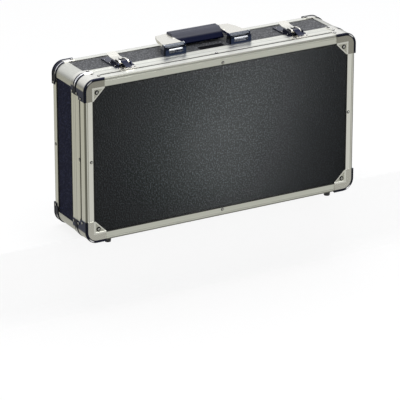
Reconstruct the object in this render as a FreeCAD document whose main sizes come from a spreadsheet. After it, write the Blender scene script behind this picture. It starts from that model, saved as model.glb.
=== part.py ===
import FreeCAD, Part
import math
import os
import Sketcher
from types import SimpleNamespace

# A pedal case of two halves: a deep lid shell and a shallow tray, closed and standing on its hinge side.
# +X runs along the length, +Y from the tray's outside face to the lid's outside face, +Z is up.
# The origin is on the floor, under the middle of the case. All lengths are in millimetres.

sizes = {
    # the whole case
    "caseLength": (690.0, "outside length over the aluminium rails"),
    "caseHeight": (378.0, "outside height over the rails, without the feet"),
    "caseDepth": (152.0, "outside depth, tray face to lid face"),
    "seamDepth": (45.0, "depth of the tray half"),
    "cornerRadius": (26.0, "outer radius of the four rounded corners"),
    "seamGap": (0.4, "gap between the closed halves"),
    "fitGap": (0.3, "clearance where a piece fits between two others"),
    # walls, panels and lining
    "wallThick": (8.0, "laminated side wall"),
    "facePanelThick": (5.0, "laminated face panel"),
    "feltThick": (2.0, "felt lining"),
    # aluminium rails
    "railWall": (1.2, "wall of the extruded rails"),
    "trimWidth": (21.0, "flange of a rail on a face"),
    "arrisRadius": (4.0, "rounded arris of a rail"),
    "creaseDepth": (28.0, "place of the crease along the tray rail"),
    "creaseSize": (1.4, "depth of the crease"),
    "creaseWidth": (4.0, "width of the crease"),
    "lineInset": (6.6, "fine line on a face flange from the outside"),
    "lineSize": (0.6, "depth of the fine lines, half their width"),
    "closureBand": (18.0, "outer flange of the lid's closure rail"),
    "closureLip": (12.0, "inner flange of the lid's closure rail"),
    "closureWeb": (2.0, "web of the closure rail at the seam"),
    "rearBand": (17.0, "side flange of the lid's rear rail"),
    "tongueReach": (2.7, "tongue that enters the tray's groove"),
    "tongueThick": (2.7, "thickness of the tongue"),
    "tongueInset": (3.9, "tongue from the outside of the rail"),
    "grooveGap": (0.5, "clearance round the tongue"),
    "stripFlange": (30.0, "reach of a corner strip's outer flange"),
    "stripLip": (35.0, "reach of a corner strip's inner flange"),
    # pressed corner caps
    "capSheet": (1.2, "sheet of the pressed corner caps"),
    "capLeg": (49.0, "long leg of a corner cap"),
    "capShortLeg": (42.0, "short leg of a corner cap"),
    "beadRise": (1.0, "height of the rolled bead on a cap"),
    "beadWidth": (5.0, "width of the rolled bead on a cap"),
    "rollWidth": (3.0, "reach of the rolled arris along the side"),
    "rollReach": (1.5, "reach of the rolled arris over the face"),
    "rollRound": (2.4, "rounding of the rolled arris"),
    # fasteners
    "headRadius": (3.8, "screw head radius"),
    "headRise": (1.6, "screw head height"),
    "dimpleWidth": (1.1, "ring pressed round the screw of a tab"),
    "dimpleDepth": (0.7, "depth of that ring"),
    "rivetRadius": (2.2, "rivet head radius"),
    "rivetRise": (1.1, "rivet head height"),
    # rubber feet
    "footHeight": (10.0, "rubber foot height"),
    "footRadius": (8.0, "rubber foot radius at its root"),
    "footTaper": (1.2, "radius lost down to the sole"),
    "footInset": (60.0, "foot centre from the end of the case"),
    "trayFootDepth": (14.0, "tray foot centre from the tray face"),
    "lidFootInset": (34.0, "lid foot centre from the lid face"),
    # hinges
    "hardwareInset": (125.0, "latch and hinge centres from the end of the case"),
    "hingeLength": (51.0, "hinge length"),
    "hingeMiddle": (21.4, "middle knuckle length"),
    "hingePlay": (0.4, "play between knuckles"),
    "knuckleRadius": (4.0, "knuckle radius"),
    "pinRadius": (2.0, "hinge pin radius"),
    "pinPlay": (0.06, "running clearance round a pin"),
    "hingeDrop": (4.6, "hinge axis below the case"),
    "leafThick": (1.5, "hinge leaf"),
    "leafReach": (17.0, "hinge leaf from the seam"),
    # handle
    "handlePivotRise": (17.0, "handle pivot above the case"),
    "bracketSpread": (83.5, "bracket centre from the middle"),
    "bracketLength": (52.0, "bracket along the case"),
    "bracketDepth": (22.0, "bracket across the case"),
    "bracketSheet": (2.0, "bracket sheet"),
    "bracketFront": (16.0, "height of a bracket's front plate"),
    "bracketPost": (9.0, "solid width at each end of the front plate"),
    "bracketSill": (4.5, "front plate below its window"),
    "loopRadius": (6.5, "loop of a cheek round the pivot"),
    "barRadius": (2.3, "upper bar across the window"),
    "barRise": (11.5, "upper bar above the case"),
    "thinBarRadius": (1.2, "lower bar across the window"),
    "thinBarRise": (6.8, "lower bar above the case"),
    "barrelRadius": (5.5, "barrel of a handle arm"),
    "handlePinRadius": (2.6, "handle pivot pin"),
    "gripHalf": (61.5, "half the length of the grip"),
    "armReach": (101.0, "outer corner of a handle arm from the middle"),
    "armThick": (7.0, "thickness of a handle arm"),
    "gripNear": (29.0, "near edge of the grip from the pivot"),
    "gripLean": (16.5, "how far the grip's near side leans back"),
    "gripRidge": (1.6, "depth of the lines along the grip"),
    "gripFar": (72.0, "far edge of the grip from the pivot"),
    "gripTop": (9.5, "top of the grip above the pivot"),
    "gripDrop": (14.5, "underside of the grip below the pivot"),
    "coreWidth": (16.0, "steel strip inside the grip"),
    "coreThick": (3.0, "steel strip thickness"),
    # latches
    "latchWidth": (33.0, "latch body across"),
    "latchWing": (6.5, "riveted wing beside the latch body"),
    "latchNear": (1.5, "latch base from the seam"),
    "latchClear": (18.0, "bare board between a latch base and the rear rail"),
    "latchSheet": (1.5, "latch sheet"),
    "latchCheek": (9.0, "height of the latch cheeks"),
    "leverWidth": (24.0, "lever across"),
    "leverShort": (2.0, "lever tip short of the end of its base"),
    "leverPivotBack": (9.0, "lever pivot from the seam"),
    "leverPivotRise": (6.0, "lever pivot above the case"),
    "leverBarrel": (3.4, "lever barrel radius"),
    "leverPin": (1.8, "lever pin radius"),
    "leverTop": (12.5, "top of the lever box above the case"),
    "leverBoxEnd": (26.0, "far end of the lever box from the seam"),
    "leverTail": (7.5, "underside of the lever tail above the case"),
    "tailRise": (5.0, "rise of the lever tip"),
    "tailHole": (1.1, "radius of the two holes in the lever's tail"),
    "tailHoleSpread": (3.0, "each of those holes from the middle"),
    "clawPivotBack": (14.0, "claw pivot from the seam"),
    "clawPivotRise": (10.0, "claw pivot above the case"),
    "clawBarrel": (2.2, "claw barrel radius"),
    "clawPin": (1.2, "claw pin radius"),
    "clawSlotEnd": (20.0, "far end of the claw's slot from the seam"),
    "clawWidth": (15.0, "claw across"),
    "clawReach": (15.5, "claw tip from the seam, over the tray"),
    "clawThick": (1.8, "claw thickness"),
    "clawLift": (4.2, "underside of the claw's tip above the case"),
    "clawKnee": (2.0, "knee of the claw from the seam, over the tray"),
    "clawKneeRise": (9.0, "top of the claw's knee above the case"),
    "strikeLength": (46.0, "strike along the case"),
    "strikeNear": (3.0, "strike from the seam"),
    "strikeDepth": (18.0, "strike across the case"),
    "strikeSheet": (1.2, "strike sheet"),
    "strikeWindow": (22.0, "window in the strike"),
    "strikeHorn": (3.2, "horn of the strike above its plate"),
    # making
    "overrun": (5.0, "how far a cut runs past what it cuts"),
    "snap": (0.01, "how near an edge must be to count as on a plane"),
}

doc = FreeCAD.newDocument("PedalCase")
sheet = doc.addObject("Spreadsheet::Sheet", "Sizes")
for row, (alias, (value, note)) in enumerate(sizes.items(), start=1):
    sheet.set(f"A{row}", alias)
    sheet.set(f"B{row}", str(value))
    sheet.set(f"C{row}", note)
    sheet.setAlias(f"B{row}", alias)
doc.recompute()


# A size carries its number and its formula, so that every sum of sizes stays bound to the sheet.
class Size:
    def __init__(self, value, formula):
        self.value = value
        self.formula = formula

    def __add__(self, other):
        other = asSize(other)
        return Size(self.value + other.value, f"({self.formula} + {other.formula})")

    def __sub__(self, other):
        other = asSize(other)
        return Size(self.value - other.value, f"({self.formula} - {other.formula})")

    def __mul__(self, share):
        return Size(self.value * share, f"({self.formula} * {share})")

    def __truediv__(self, share):
        return Size(self.value / share, f"({self.formula} / {share})")

    def __neg__(self):
        return Size(-self.value, f"(0 - {self.formula})")

    __rmul__ = __mul__


def asSize(value):
    return value if isinstance(value, Size) else Size(value, str(value))


zero = Size(0.0, "0")
s = SimpleNamespace(**{alias: Size(value, "Sizes." + alias) for alias, (value, note) in sizes.items()})

# planes that many pieces share
endX = s.caseLength / 2
faceY = -(s.caseDepth / 2)
backY = s.caseDepth / 2
seamY = faceY + s.seamDepth
baseZ = s.footHeight
topZ = baseZ + s.caseHeight
midZ = baseZ + s.caseHeight / 2
panelInset = s.railWall + s.wallThick
rimWidth = panelInset + s.railWall
hardwareX = endX - s.hardwareInset
railSpanX = s.caseLength - 2 * s.cornerRadius - 2 * s.fitGap
railSpanZ = s.caseHeight - 2 * s.cornerRadius - 2 * s.fitGap


def bind(thing, name, size):
    thing.setExpression(name, asSize(size).formula)


def vector(x, y):
    return FreeCAD.Vector(asSize(x).value, asSize(y).value, 0)


# A sketch on one of the body's own origin planes. Its level is measured along the world axis.
def newSketch(body, role, level=zero):
    sketch = body.newObject("Sketcher::SketchObject", body.Name + "_sketch")
    plane = next(feature for feature in body.Origin.OriginFeatures if feature.Role == role)
    sketch.AttachmentSupport = (plane, "")
    sketch.MapMode = "FlatFace"
    bind(sketch, "AttachmentOffset.Base.z", -level if role == "XZ_Plane" else level)
    return sketch


def hold(sketch, kind, index, point, size):
    size = asSize(size)
    number = sketch.addConstraint(Sketcher.Constraint(kind, -1, 1, index, point, size.value))
    sketch.setExpression(f"Constraints[{number}]", size.formula)


# A closed outline. A step is a corner (x, y), or (x, y, cx, cy) where an arc about (cx, cy) leads to it.
def outline(sketch, steps):
    edges = []
    for before, step in zip([steps[-1]] + steps[:-1], steps):
        start, end = vector(*before[:2]), vector(*step[:2])
        if len(step) == 2:
            index = sketch.addGeometry(Part.LineSegment(start, end), False)
            edges.append((index, 1, 2))
            continue
        centre = vector(*step[2:])
        first, last = start - centre, end - centre
        anticlockwise = first.cross(last).z > 0
        if not anticlockwise:
            first, last = last, first
        circle = Part.Circle(centre, FreeCAD.Vector(0, 0, 1), first.Length)
        arc = Part.ArcOfCircle(circle, math.atan2(first.y, first.x), math.atan2(last.y, last.x))
        index = sketch.addGeometry(arc, False)
        edges.append((index, 1, 2) if anticlockwise else (index, 2, 1))
        chord = end - start
        if abs(chord.y) >= abs(chord.x):
            hold(sketch, "DistanceX", index, 3, step[2])
        else:
            hold(sketch, "DistanceY", index, 3, step[3])
    for (last, _, lastEnd), (index, start, _) in zip([edges[-1]] + edges[:-1], edges):
        sketch.addConstraint(Sketcher.Constraint("Coincident", last, lastEnd, index, start))
    for (index, _, end), step in zip(edges, steps):
        hold(sketch, "DistanceX", index, end, step[0])
        hold(sketch, "DistanceY", index, end, step[1])


def circle(sketch, x, y, radius):
    index = sketch.addGeometry(Part.Circle(vector(x, y), FreeCAD.Vector(0, 0, 1), radius.value), False)
    hold(sketch, "DistanceX", index, 3, x)
    hold(sketch, "DistanceY", index, 3, y)
    number = sketch.addConstraint(Sketcher.Constraint("Radius", index, radius.value))
    sketch.setExpression(f"Constraints[{number}]", radius.formula)


def rectangle(x0, y0, x1, y1):
    return [(x0, y0), (x1, y0), (x1, y1), (x0, y1)]


def newBody(label):
    body = doc.addObject("PartDesign::Body", label)
    body.Label = label
    return body


# Adds or cuts a prism of one or more outlines. It runs from level to the other end along the world axis.
def prism(body, role, loops, level, length, cut=False, middle=False):
    sketch = newSketch(body, role, level)
    for loop in loops:
        if isinstance(loop, list):
            outline(sketch, loop)
        else:
            circle(sketch, *loop)
    kind = "PartDesign::Pocket" if cut else "PartDesign::Pad"
    feature = body.newObject(kind, body.Name + ("_pocket" if cut else "_pad"))
    feature.Profile = sketch
    bind(feature, "Length", length)
    if middle:
        feature.SideType = "Symmetric"
    else:
        feature.Reversed = (role == "XZ_Plane") != cut
    sketch.Visibility = False
    return feature


# Rounds the edges of a body's tip whose middle point passes the test.
def roundEdges(body, test, radius, chamfer=False):
    doc.recompute()
    tip = body.Tip
    names = [f"Edge{number}" for number, edge in enumerate(tip.Shape.Edges, start=1) if test(edge)]
    kind = "Chamfer" if chamfer else "Fillet"
    feature = body.newObject("PartDesign::" + kind, f"{body.Name}_{kind.lower()}")
    feature.Base = (tip, names)
    bind(feature, "Size" if chamfer else "Radius", radius)
    return feature


def edgeMiddle(edge):
    return edge.valueAt((edge.FirstParameter + edge.LastParameter) / 2)


def near(value, size):
    return abs(value - size.value) < s.snap.value


def mirrored(label, source, normal, base=None):
    thing = doc.addObject("Part::Mirroring", label)
    thing.Source = source
    thing.Normal = normal
    if base is not None:
        bind(thing, "Base.z", base)
    return thing


def group(label, things):
    thing = doc.addObject("Part::Compound", label)
    thing.Links = things
    return thing


def cutAway(label, base, tool):
    thing = doc.addObject("Part::Cut", label)
    thing.Base = base
    thing.Tool = tool
    return thing


def joined(label, things):
    thing = doc.addObject("Part::MultiFuse", label)
    thing.Shapes = things
    return thing


# The same corner piece at all four corners, from the one at the upper left.
def fourCorners(label, source):
    right = mirrored(label + "_right", source, (1, 0, 0))
    lowLeft = mirrored(label + "_low_left", source, (0, 0, 1), midZ)
    lowRight = mirrored(label + "_low_right", right, (0, 0, 1), midZ)
    return group(label, [source, right, lowLeft, lowRight])


pieces = []


def keep(thing):
    pieces.append(thing)
    return thing


# A rail of one side. Its section is given as (depth, inset): world Y, and the distance in from the outside.
def rail(label, section, side):
    body = newBody(label)
    places = {
        "top": lambda inset: topZ - inset,
        "bottom": lambda inset: baseZ + inset,
        "left": lambda inset: inset - endX,
        "right": lambda inset: endX - inset,
    }
    upright = side in ("left", "right")
    steps = []
    for step in section:
        pairs = [(step[at], places[side](step[at + 1])) for at in range(0, len(step), 2)]
        steps.append(tuple(value for pair in pairs for value in (reversed(pair) if upright else pair)))
    if upright:
        prism(body, "XY_Plane", [steps], midZ, railSpanZ, middle=True)
    else:
        prism(body, "YZ_Plane", [steps], zero, railSpanX, middle=True)
    return keep(body)


sides = ("top", "bottom", "left", "right")

# Tray rail: face flange, rounded arris, creased band, and a grooved rim that takes the lid's tongue
rimY = seamY - s.seamGap
grooveIn = s.tongueInset - s.grooveGap
grooveOut = s.tongueInset + s.tongueThick + s.grooveGap
grooveFloor = seamY - s.tongueReach - s.grooveGap
panelFaceY = faceY + s.railWall
panelBackY = panelFaceY + s.facePanelThick
creaseY = faceY + s.creaseDepth
creaseHalf = s.creaseWidth / 2
creaseFloor = s.creaseWidth / 4
creaseWall = s.railWall / 2
trayRail = [
    (faceY + s.arrisRadius, zero, faceY + s.arrisRadius, s.arrisRadius),
    (creaseY - creaseHalf, zero),
    (creaseY - creaseFloor, s.creaseSize),
    (creaseY + creaseFloor, s.creaseSize),
    (creaseY + creaseHalf, zero),
    (rimY, zero),
    (rimY, grooveIn),
    (grooveFloor, grooveIn),
    (grooveFloor, grooveOut),
    (rimY, grooveOut),
    (rimY, rimWidth),
    (panelBackY, rimWidth),
    (panelBackY, panelInset),
    (grooveFloor - s.railWall, panelInset),
    (grooveFloor - s.railWall, s.railWall),
    (creaseY + creaseHalf + creaseWall, s.railWall),
    (creaseY + creaseFloor + creaseWall, s.railWall + s.creaseSize),
    (creaseY - creaseFloor - creaseWall, s.railWall + s.creaseSize),
    (creaseY - creaseHalf - creaseWall, s.railWall),
    (panelFaceY + s.arrisRadius, s.railWall),
    (panelFaceY, s.arrisRadius),
    (panelFaceY, s.trimWidth),
    (faceY, s.trimWidth),
    (faceY, s.lineInset + s.lineSize),
    (faceY + s.lineSize, s.lineInset),
    (faceY, s.lineInset - s.lineSize),
    (faceY, s.arrisRadius),
]
for side in sides:
    rail("tray_rail_" + side, trayRail, side)

# Lid closure rail: a channel over the wall's edge, with the tongue
tongueEnd = seamY - s.tongueReach
bandLineShare = 0.45
bandLineY = seamY + s.closureBand * bandLineShare
lidRail = [
    (seamY, zero),
    (bandLineY - s.lineSize, zero),
    (bandLineY, s.lineSize),
    (bandLineY + s.lineSize, zero),
    (seamY + s.closureBand, zero),
    (seamY + s.closureBand, s.railWall),
    (seamY + s.closureWeb, s.railWall),
    (seamY + s.closureWeb, panelInset),
    (seamY + s.closureLip, panelInset),
    (seamY + s.closureLip, rimWidth),
    (seamY, rimWidth),
    (seamY, s.tongueInset + s.tongueThick),
    (tongueEnd, s.tongueInset + s.tongueThick),
    (tongueEnd, s.tongueInset),
    (seamY, s.tongueInset),
]
for side in sides:
    rail("lid_closure_rail_" + side, lidRail, side)

# Lid rear rail: an angle with a rounded arris
rearRail = [
    (backY - s.rearBand, zero),
    (backY - s.arrisRadius, zero),
    (backY, s.arrisRadius, backY - s.arrisRadius, s.arrisRadius),
    (backY, s.lineInset - s.lineSize),
    (backY - s.lineSize, s.lineInset),
    (backY, s.lineInset + s.lineSize),
    (backY, s.trimWidth),
    (backY - s.railWall, s.trimWidth),
    (backY - s.railWall, s.railWall),
    (backY - s.rearBand, s.railWall),
]
for side in sides:
    rail("lid_rear_rail_" + side, rearRail, side)

# Lid walls: flat laminated boards between the corner strips
wallNearY = seamY + s.closureWeb
wallFarY = backY - s.railWall - s.facePanelThick
stripWeb = s.cornerRadius + s.railWall
wallSection = rectangle(wallNearY, s.railWall, wallFarY, panelInset)
for side in sides:
    wall = rail("lid_wall_" + side, wallSection, side)
    span = s.caseLength if side in ("top", "bottom") else s.caseHeight
    bind(wall.Tip, "Length", span - 2 * stripWeb - 2 * s.fitGap)


# A rounded rectangle in X and Z, a given distance inside the outside of the case
def caseOutline(inset):
    left, right = inset - endX, endX - inset
    low, high = baseZ + inset, topZ - inset
    radius = s.cornerRadius - inset
    return [
        (left + radius, low, left + radius, low + radius),
        (right - radius, low),
        (right, low + radius, right - radius, low + radius),
        (right, high - radius),
        (right - radius, high, right - radius, high - radius),
        (left + radius, high),
        (left, high - radius, left + radius, high - radius),
        (left, low + radius),
    ]


# Face panels of the two halves, with their edges under the rails
panelEdge = s.railWall + s.fitGap
trayPanelEdge = s.arrisRadius + s.fitGap
trayPanel = keep(newBody("tray_face_panel"))
prism(trayPanel, "XZ_Plane", [caseOutline(trayPanelEdge)], panelFaceY, s.facePanelThick)
backPanel = keep(newBody("lid_back_panel"))
prism(backPanel, "XZ_Plane", [caseOutline(panelEdge)], wallFarY, s.facePanelThick)

# Felt linings, glued to the panels and to the rails or walls
feltEdge = rimWidth + s.feltThick
trayFloor = keep(newBody("tray_floor_felt"))
prism(trayFloor, "XZ_Plane", [caseOutline(feltEdge)], panelBackY, s.feltThick)
trayWallFelt = keep(newBody("tray_wall_felt"))
prism(trayWallFelt, "XZ_Plane", [caseOutline(rimWidth), caseOutline(feltEdge)], panelBackY,
      rimY - panelBackY - s.railWall)
lidFloor = keep(newBody("lid_back_felt"))
prism(lidFloor, "XZ_Plane", [caseOutline(feltEdge)], wallFarY - s.feltThick, s.feltThick)
lidWallFelt = keep(newBody("lid_wall_felt"))
prism(lidWallFelt, "XZ_Plane", [caseOutline(rimWidth), caseOutline(feltEdge)], seamY + s.railWall,
      wallFarY - seamY - s.railWall)


# A point near the upper left corner, by its distances in from the end and down from the top
def corner(across, down):
    return (across - endX, topZ - down)


def cornerArc(across, down):
    return corner(across, down) + corner(s.cornerRadius, s.cornerRadius)


# Rounded corner strip of the lid: a hollow extrusion that grips the boards
stripInner = rimWidth - s.railWall
lidStrip = newBody("lid_corner_strip")
stripOuter = [
    corner(s.stripFlange, zero),
    corner(s.cornerRadius, zero),
    cornerArc(zero, s.cornerRadius),
    corner(zero, s.stripFlange),
    corner(s.railWall, s.stripFlange),
    corner(s.railWall, stripWeb),
    corner(stripInner, stripWeb),
    corner(stripInner, s.stripLip),
    corner(rimWidth, s.stripLip),
    corner(rimWidth, s.cornerRadius),
    cornerArc(s.cornerRadius, rimWidth),
    corner(s.stripLip, rimWidth),
    corner(s.stripLip, stripInner),
    corner(stripWeb, stripInner),
    corner(stripWeb, s.railWall),
    corner(s.stripFlange, s.railWall),
]
stripHollow = [
    corner(stripInner, s.cornerRadius),
    cornerArc(s.cornerRadius, stripInner),
    corner(s.cornerRadius, s.railWall),
    cornerArc(s.railWall, s.cornerRadius),
]
# the flanges stop short of the rails, and the tube runs on to the seam and the back panel
tube = [
    corner(s.cornerRadius, zero),
    cornerArc(zero, s.cornerRadius),
    corner(rimWidth, s.cornerRadius),
    cornerArc(s.cornerRadius, rimWidth),
]
flangeNearY = seamY + s.closureBand + s.fitGap
flangeFarY = backY - s.rearBand - s.fitGap
prism(lidStrip, "XZ_Plane", [stripOuter, stripHollow], flangeNearY, flangeFarY - flangeNearY)
prism(lidStrip, "XZ_Plane", [tube, stripHollow], seamY, flangeNearY - seamY)
prism(lidStrip, "XZ_Plane", [tube, stripHollow], flangeFarY, wallFarY - flangeFarY)
keep(fourCorners("lid_corner_strips", lidStrip))

# Tray corner posts: the same tube, standing on the face panel
trayPost = newBody("tray_corner_post")
prism(trayPost, "XZ_Plane", [tube, stripHollow], panelBackY, rimY - panelBackY)
keep(fourCorners("tray_corner_posts", trayPost))


# A band round the outside of one corner, between two distances outside the case
def cornerBand(low, high, leg):
    return [
        corner(leg, -high),
        corner(s.cornerRadius, -high),
        cornerArc(-high, s.cornerRadius),
        corner(-high, leg),
        corner(-low, leg),
        corner(-low, s.cornerRadius),
        cornerArc(s.cornerRadius, -low),
        corner(leg, -low),
    ]


# The outer edges of a corner piece on a plane across the depth, at a distance outside the case
def cornerEdges(level, grow):
    def chosen(edge):
        middle = edgeMiddle(edge)
        across, down = middle.x + endX.value, topZ.value - middle.z
        hub = s.cornerRadius.value
        onCurve = near(math.hypot(hub - across, hub - down), s.cornerRadius + grow)
        return near(middle.y, level) and (near(across, -grow) or near(down, -grow) or onCurve)

    return chosen


# how much of its height a bead's edge is taken off
beadShare = 0.9
# the outer and the inner edge of the ring pressed round a tab's screw, past the head's edge
ringShares = (1.2, 0.2)
# a flat across a rounded arris that touches the round in its middle, as a share of the radius
chordShare = 2 - math.sqrt(2)


# The rolled bead at the open edge of a cap, standing on the cap's sheet
def rolledBead(label, fromY):
    body = newBody(label + "_bead")
    high = s.capSheet + s.beadRise
    prism(body, "XZ_Plane", [cornerBand(s.capSheet, high, s.capShortLeg)], fromY, s.beadWidth)
    for level in (fromY, fromY + s.beadWidth):
        roundEdges(body, cornerEdges(level, high), s.beadRise * beadShare, chamfer=True)
    return body


# The rolled arris of a cap. Its crown is on the face side, and its heel runs on along the side.
def rolledArris(label, crown, heel):
    body = newBody(label + "_roll")
    high = s.capSheet + s.beadRise
    low, length = (crown, heel - crown) if crown.value < heel.value else (heel, crown - heel)
    prism(body, "XZ_Plane", [cornerBand(-s.rollReach, high, s.capLeg)], low, length)
    roundEdges(body, cornerEdges(crown, high), s.rollRound)
    roundEdges(body, cornerEdges(crown, -s.rollReach), s.beadRise * beadShare, chamfer=True)
    roundEdges(body, cornerEdges(heel, high), s.beadRise * beadShare, chamfer=True)
    return body


# The solid round one corner of the case. A pressed cap is one such solid less a smaller one.
def cornerBlock(label, grow, leg, inner, fromY, toY):
    body = newBody(label)
    steps = [
        corner(leg, -grow),
        corner(s.cornerRadius, -grow),
        cornerArc(-grow, s.cornerRadius),
        corner(-grow, leg),
        corner(inner, leg),
        corner(inner, inner),
        corner(leg, inner),
    ]
    prism(body, "XZ_Plane", [steps], fromY, toY - fromY)
    return body


# A pressed cap with a rolled arris, a face flange, side legs, a bead and a screwed tab on the panel.
# Its face looks towards -Y when way is -1, as on the tray, and towards +Y when way is 1.
def pressedCap(label, faceLevel, panelLevel, openLevel, stepLevel, way):
    outerFace = faceLevel + s.capSheet * way
    past = s.capLeg + s.overrun
    pastInner = s.trimWidth + s.overrun
    if way < 0:
        outer = cornerBlock(label + "_outer", s.capSheet, s.capLeg, s.trimWidth, outerFace, openLevel)
        inner = cornerBlock(label + "_inner", zero, past, pastInner, faceLevel, openLevel + s.overrun)
        bead = rolledBead(label, openLevel - s.beadWidth)
        legs = (stepLevel, openLevel - stepLevel)
    else:
        outer = cornerBlock(label + "_outer", s.capSheet, s.capLeg, s.trimWidth, openLevel, outerFace)
        inner = cornerBlock(label + "_inner", zero, past, pastInner, openLevel - s.overrun, faceLevel)
        bead = rolledBead(label, openLevel)
        legs = (openLevel, stepLevel - openLevel)
    roundEdges(inner, cornerEdges(faceLevel, zero), s.arrisRadius * chordShare, chamfer=True)
    across = [
        corner(s.capShortLeg, -s.overrun),
        corner(past, -s.overrun),
        corner(past, pastInner),
        corner(s.capShortLeg, pastInner),
    ]
    down = [
        corner(-s.overrun, s.capShortLeg),
        corner(pastInner, s.capShortLeg),
        corner(pastInner, past),
        corner(-s.overrun, past),
    ]
    for leg in (across, down):
        prism(outer, "XZ_Plane", [leg], *legs, cut=True)
    roll = rolledArris(label, outerFace + s.beadRise * way, outerFace - s.rollWidth * way)
    shell = cutAway(label + "_shell", joined(label + "_rolled", [outer, roll]), inner)
    return joined(label, [shell, screwedTab(label, outerFace, panelLevel, way), bead])


tabCentre = s.trimWidth + s.capSheet + s.headRadius * 2


# The tab of a cap: a rim down to the panel, and a triangle on it with a ring pressed round the screw
def screwedTab(label, outerFace, panelLevel, way):
    tab = newBody(label + "_tab")
    edge, wall = s.trimWidth, s.trimWidth + s.capSheet
    rim = [
        corner(edge, edge),
        corner(s.capLeg, edge),
        corner(s.capLeg, wall),
        corner(wall, wall),
        corner(wall, s.capLeg),
        corner(edge, s.capLeg),
    ]
    triangle = rim[:3] + rim[4:]
    ring = [(*corner(tabCentre, tabCentre), s.headRadius + s.dimpleWidth * share) for share in ringShares]
    if way < 0:
        prism(tab, "XZ_Plane", [rim], outerFace, panelLevel - outerFace)
        prism(tab, "XZ_Plane", [triangle], panelLevel - s.capSheet, s.capSheet)
        prism(tab, "XZ_Plane", ring, panelLevel - s.capSheet, s.dimpleDepth, cut=True)
    else:
        prism(tab, "XZ_Plane", [rim], panelLevel, outerFace - panelLevel)
        prism(tab, "XZ_Plane", [triangle], panelLevel, s.capSheet)
        prism(tab, "XZ_Plane", ring, panelLevel + s.capSheet - s.dimpleDepth, s.dimpleDepth, cut=True)
    return tab


trayCap = pressedCap("tray_corner_cap", faceY, panelFaceY, rimY, creaseY, -1)
keep(fourCorners("tray_corner_caps", trayCap))
rearCapOpen = backY - s.rearBand
rearCapStep = rearCapOpen + s.beadWidth
lidCap = pressedCap("lid_rear_corner_cap", backY, backY - s.railWall, rearCapOpen, rearCapStep, 1)
keep(fourCorners("lid_rear_corner_caps", lidCap))

# Lid closure caps: a pressed band round each corner beside the seam
closureBand = newBody("lid_closure_band")
prism(closureBand, "XZ_Plane", [cornerBand(zero, s.capSheet, s.capShortLeg)], seamY, s.closureBand)
closureCap = joined("lid_closure_cap", [closureBand, rolledBead("lid_closure_cap", seamY)])
keep(fourCorners("lid_closure_caps", closureCap))


# A plain head of a screw or rivet, standing on its own plane, with few sides because it repeats so often
headSides = 8


def headForm(label, radius, rise):
    body = newBody(label)
    disc = body.newObject("PartDesign::AdditivePrism", label + "_disc")
    disc.Polygon = headSides
    bind(disc, "Circumradius", radius)
    bind(disc, "Height", rise)
    roundEdges(body, lambda edge: near(edgeMiddle(edge).z, rise), rise / 2, chamfer=True)
    return body


screwForm = headForm("screw_head", s.headRadius, s.headRise)
rivetForm = headForm("rivet_head", s.rivetRadius, s.rivetRise)
doc.recompute()


# Identical heads, each at a place and facing outwards
def heads(label, form, places):
    solids = []
    for place, facing in places:
        solid = form.Shape.copy()
        turn = FreeCAD.Rotation(FreeCAD.Vector(0, 0, 1), FreeCAD.Vector(*facing))
        solid.Placement = FreeCAD.Placement(FreeCAD.Vector(*(asSize(value).value for value in place)), turn)
        solids.append(solid)
    thing = doc.addObject("Part::Feature", label)
    thing.Shape = Part.makeCompound(solids)
    return keep(thing)


# Heads on the legs at the four corners: each spot is (along the leg, depth)
def legPlaces(spots, lift):
    places = []
    for end in (-1, 1):
        for along, depth in spots:
            x = (endX - along) * end
            places.append(((x, depth, topZ + lift), (0, 0, 1)))
            places.append(((x, depth, baseZ - lift), (0, 0, -1)))
            for z in (topZ - along, baseZ + along):
                places.append((((endX + lift) * end, depth, z), (end, 0, 0)))
    return places


# Heads at the middle of each side
def middlePlaces(depth):
    places = [((zero, depth, topZ), (0, 0, 1)), ((zero, depth, baseZ), (0, 0, -1))]
    return places + [((endX * end, depth, midZ), (end, 0, 0)) for end in (-1, 1)]


flangeScrewShare = 0.7


# Heads on a face: at the middle of each flange, and on the tab of each corner
def facePlaces(level, tabLevel, facing):
    flange = s.trimWidth * flangeScrewShare
    places = [((zero, level, z), facing) for z in (topZ - flange, baseZ + flange)]
    places += [(((endX - flange) * end, level, midZ), facing) for end in (-1, 1)]
    for end in (-1, 1):
        x = (endX - tabCentre) * end
        places += [((x, tabLevel, z), facing) for z in (topZ - tabCentre, baseZ + tabCentre)]
    return places


trayTabY = panelFaceY - s.capSheet
lidTabY = backY - s.railWall + s.capSheet
# heads from the end of a leg and from the crease in shares of their radius, the rest in shares of a band
legEndShare = 1.3
creaseClearShare = 1.9
longLegShare = 0.6
rearScrewShare = 0.55
legEnd = s.headRadius * legEndShare
traySpots = [
    (s.capLeg - legEnd, faceY + s.creaseDepth * longLegShare),
    (s.capShortLeg - legEnd, creaseY + s.headRadius * creaseClearShare),
]
heads("tray_screws", screwForm, legPlaces(traySpots, s.capSheet) + middlePlaces(creaseY)
      + facePlaces(faceY, trayTabY, (0, -1, 0)))
lidSpots = [(s.capShortLeg - legEnd, seamY + s.beadWidth + (s.closureBand - s.beadWidth) / 2)]
rearSpots = [(s.capLeg - legEnd, backY - (s.rearBand - s.beadWidth + s.beadRise) / 2)]
heads("lid_screws", screwForm, legPlaces(lidSpots, s.capSheet) + legPlaces(rearSpots, s.capSheet)
      + middlePlaces(backY - s.rearBand * rearScrewShare) + facePlaces(backY, lidTabY, (0, 1, 0)))


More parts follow.
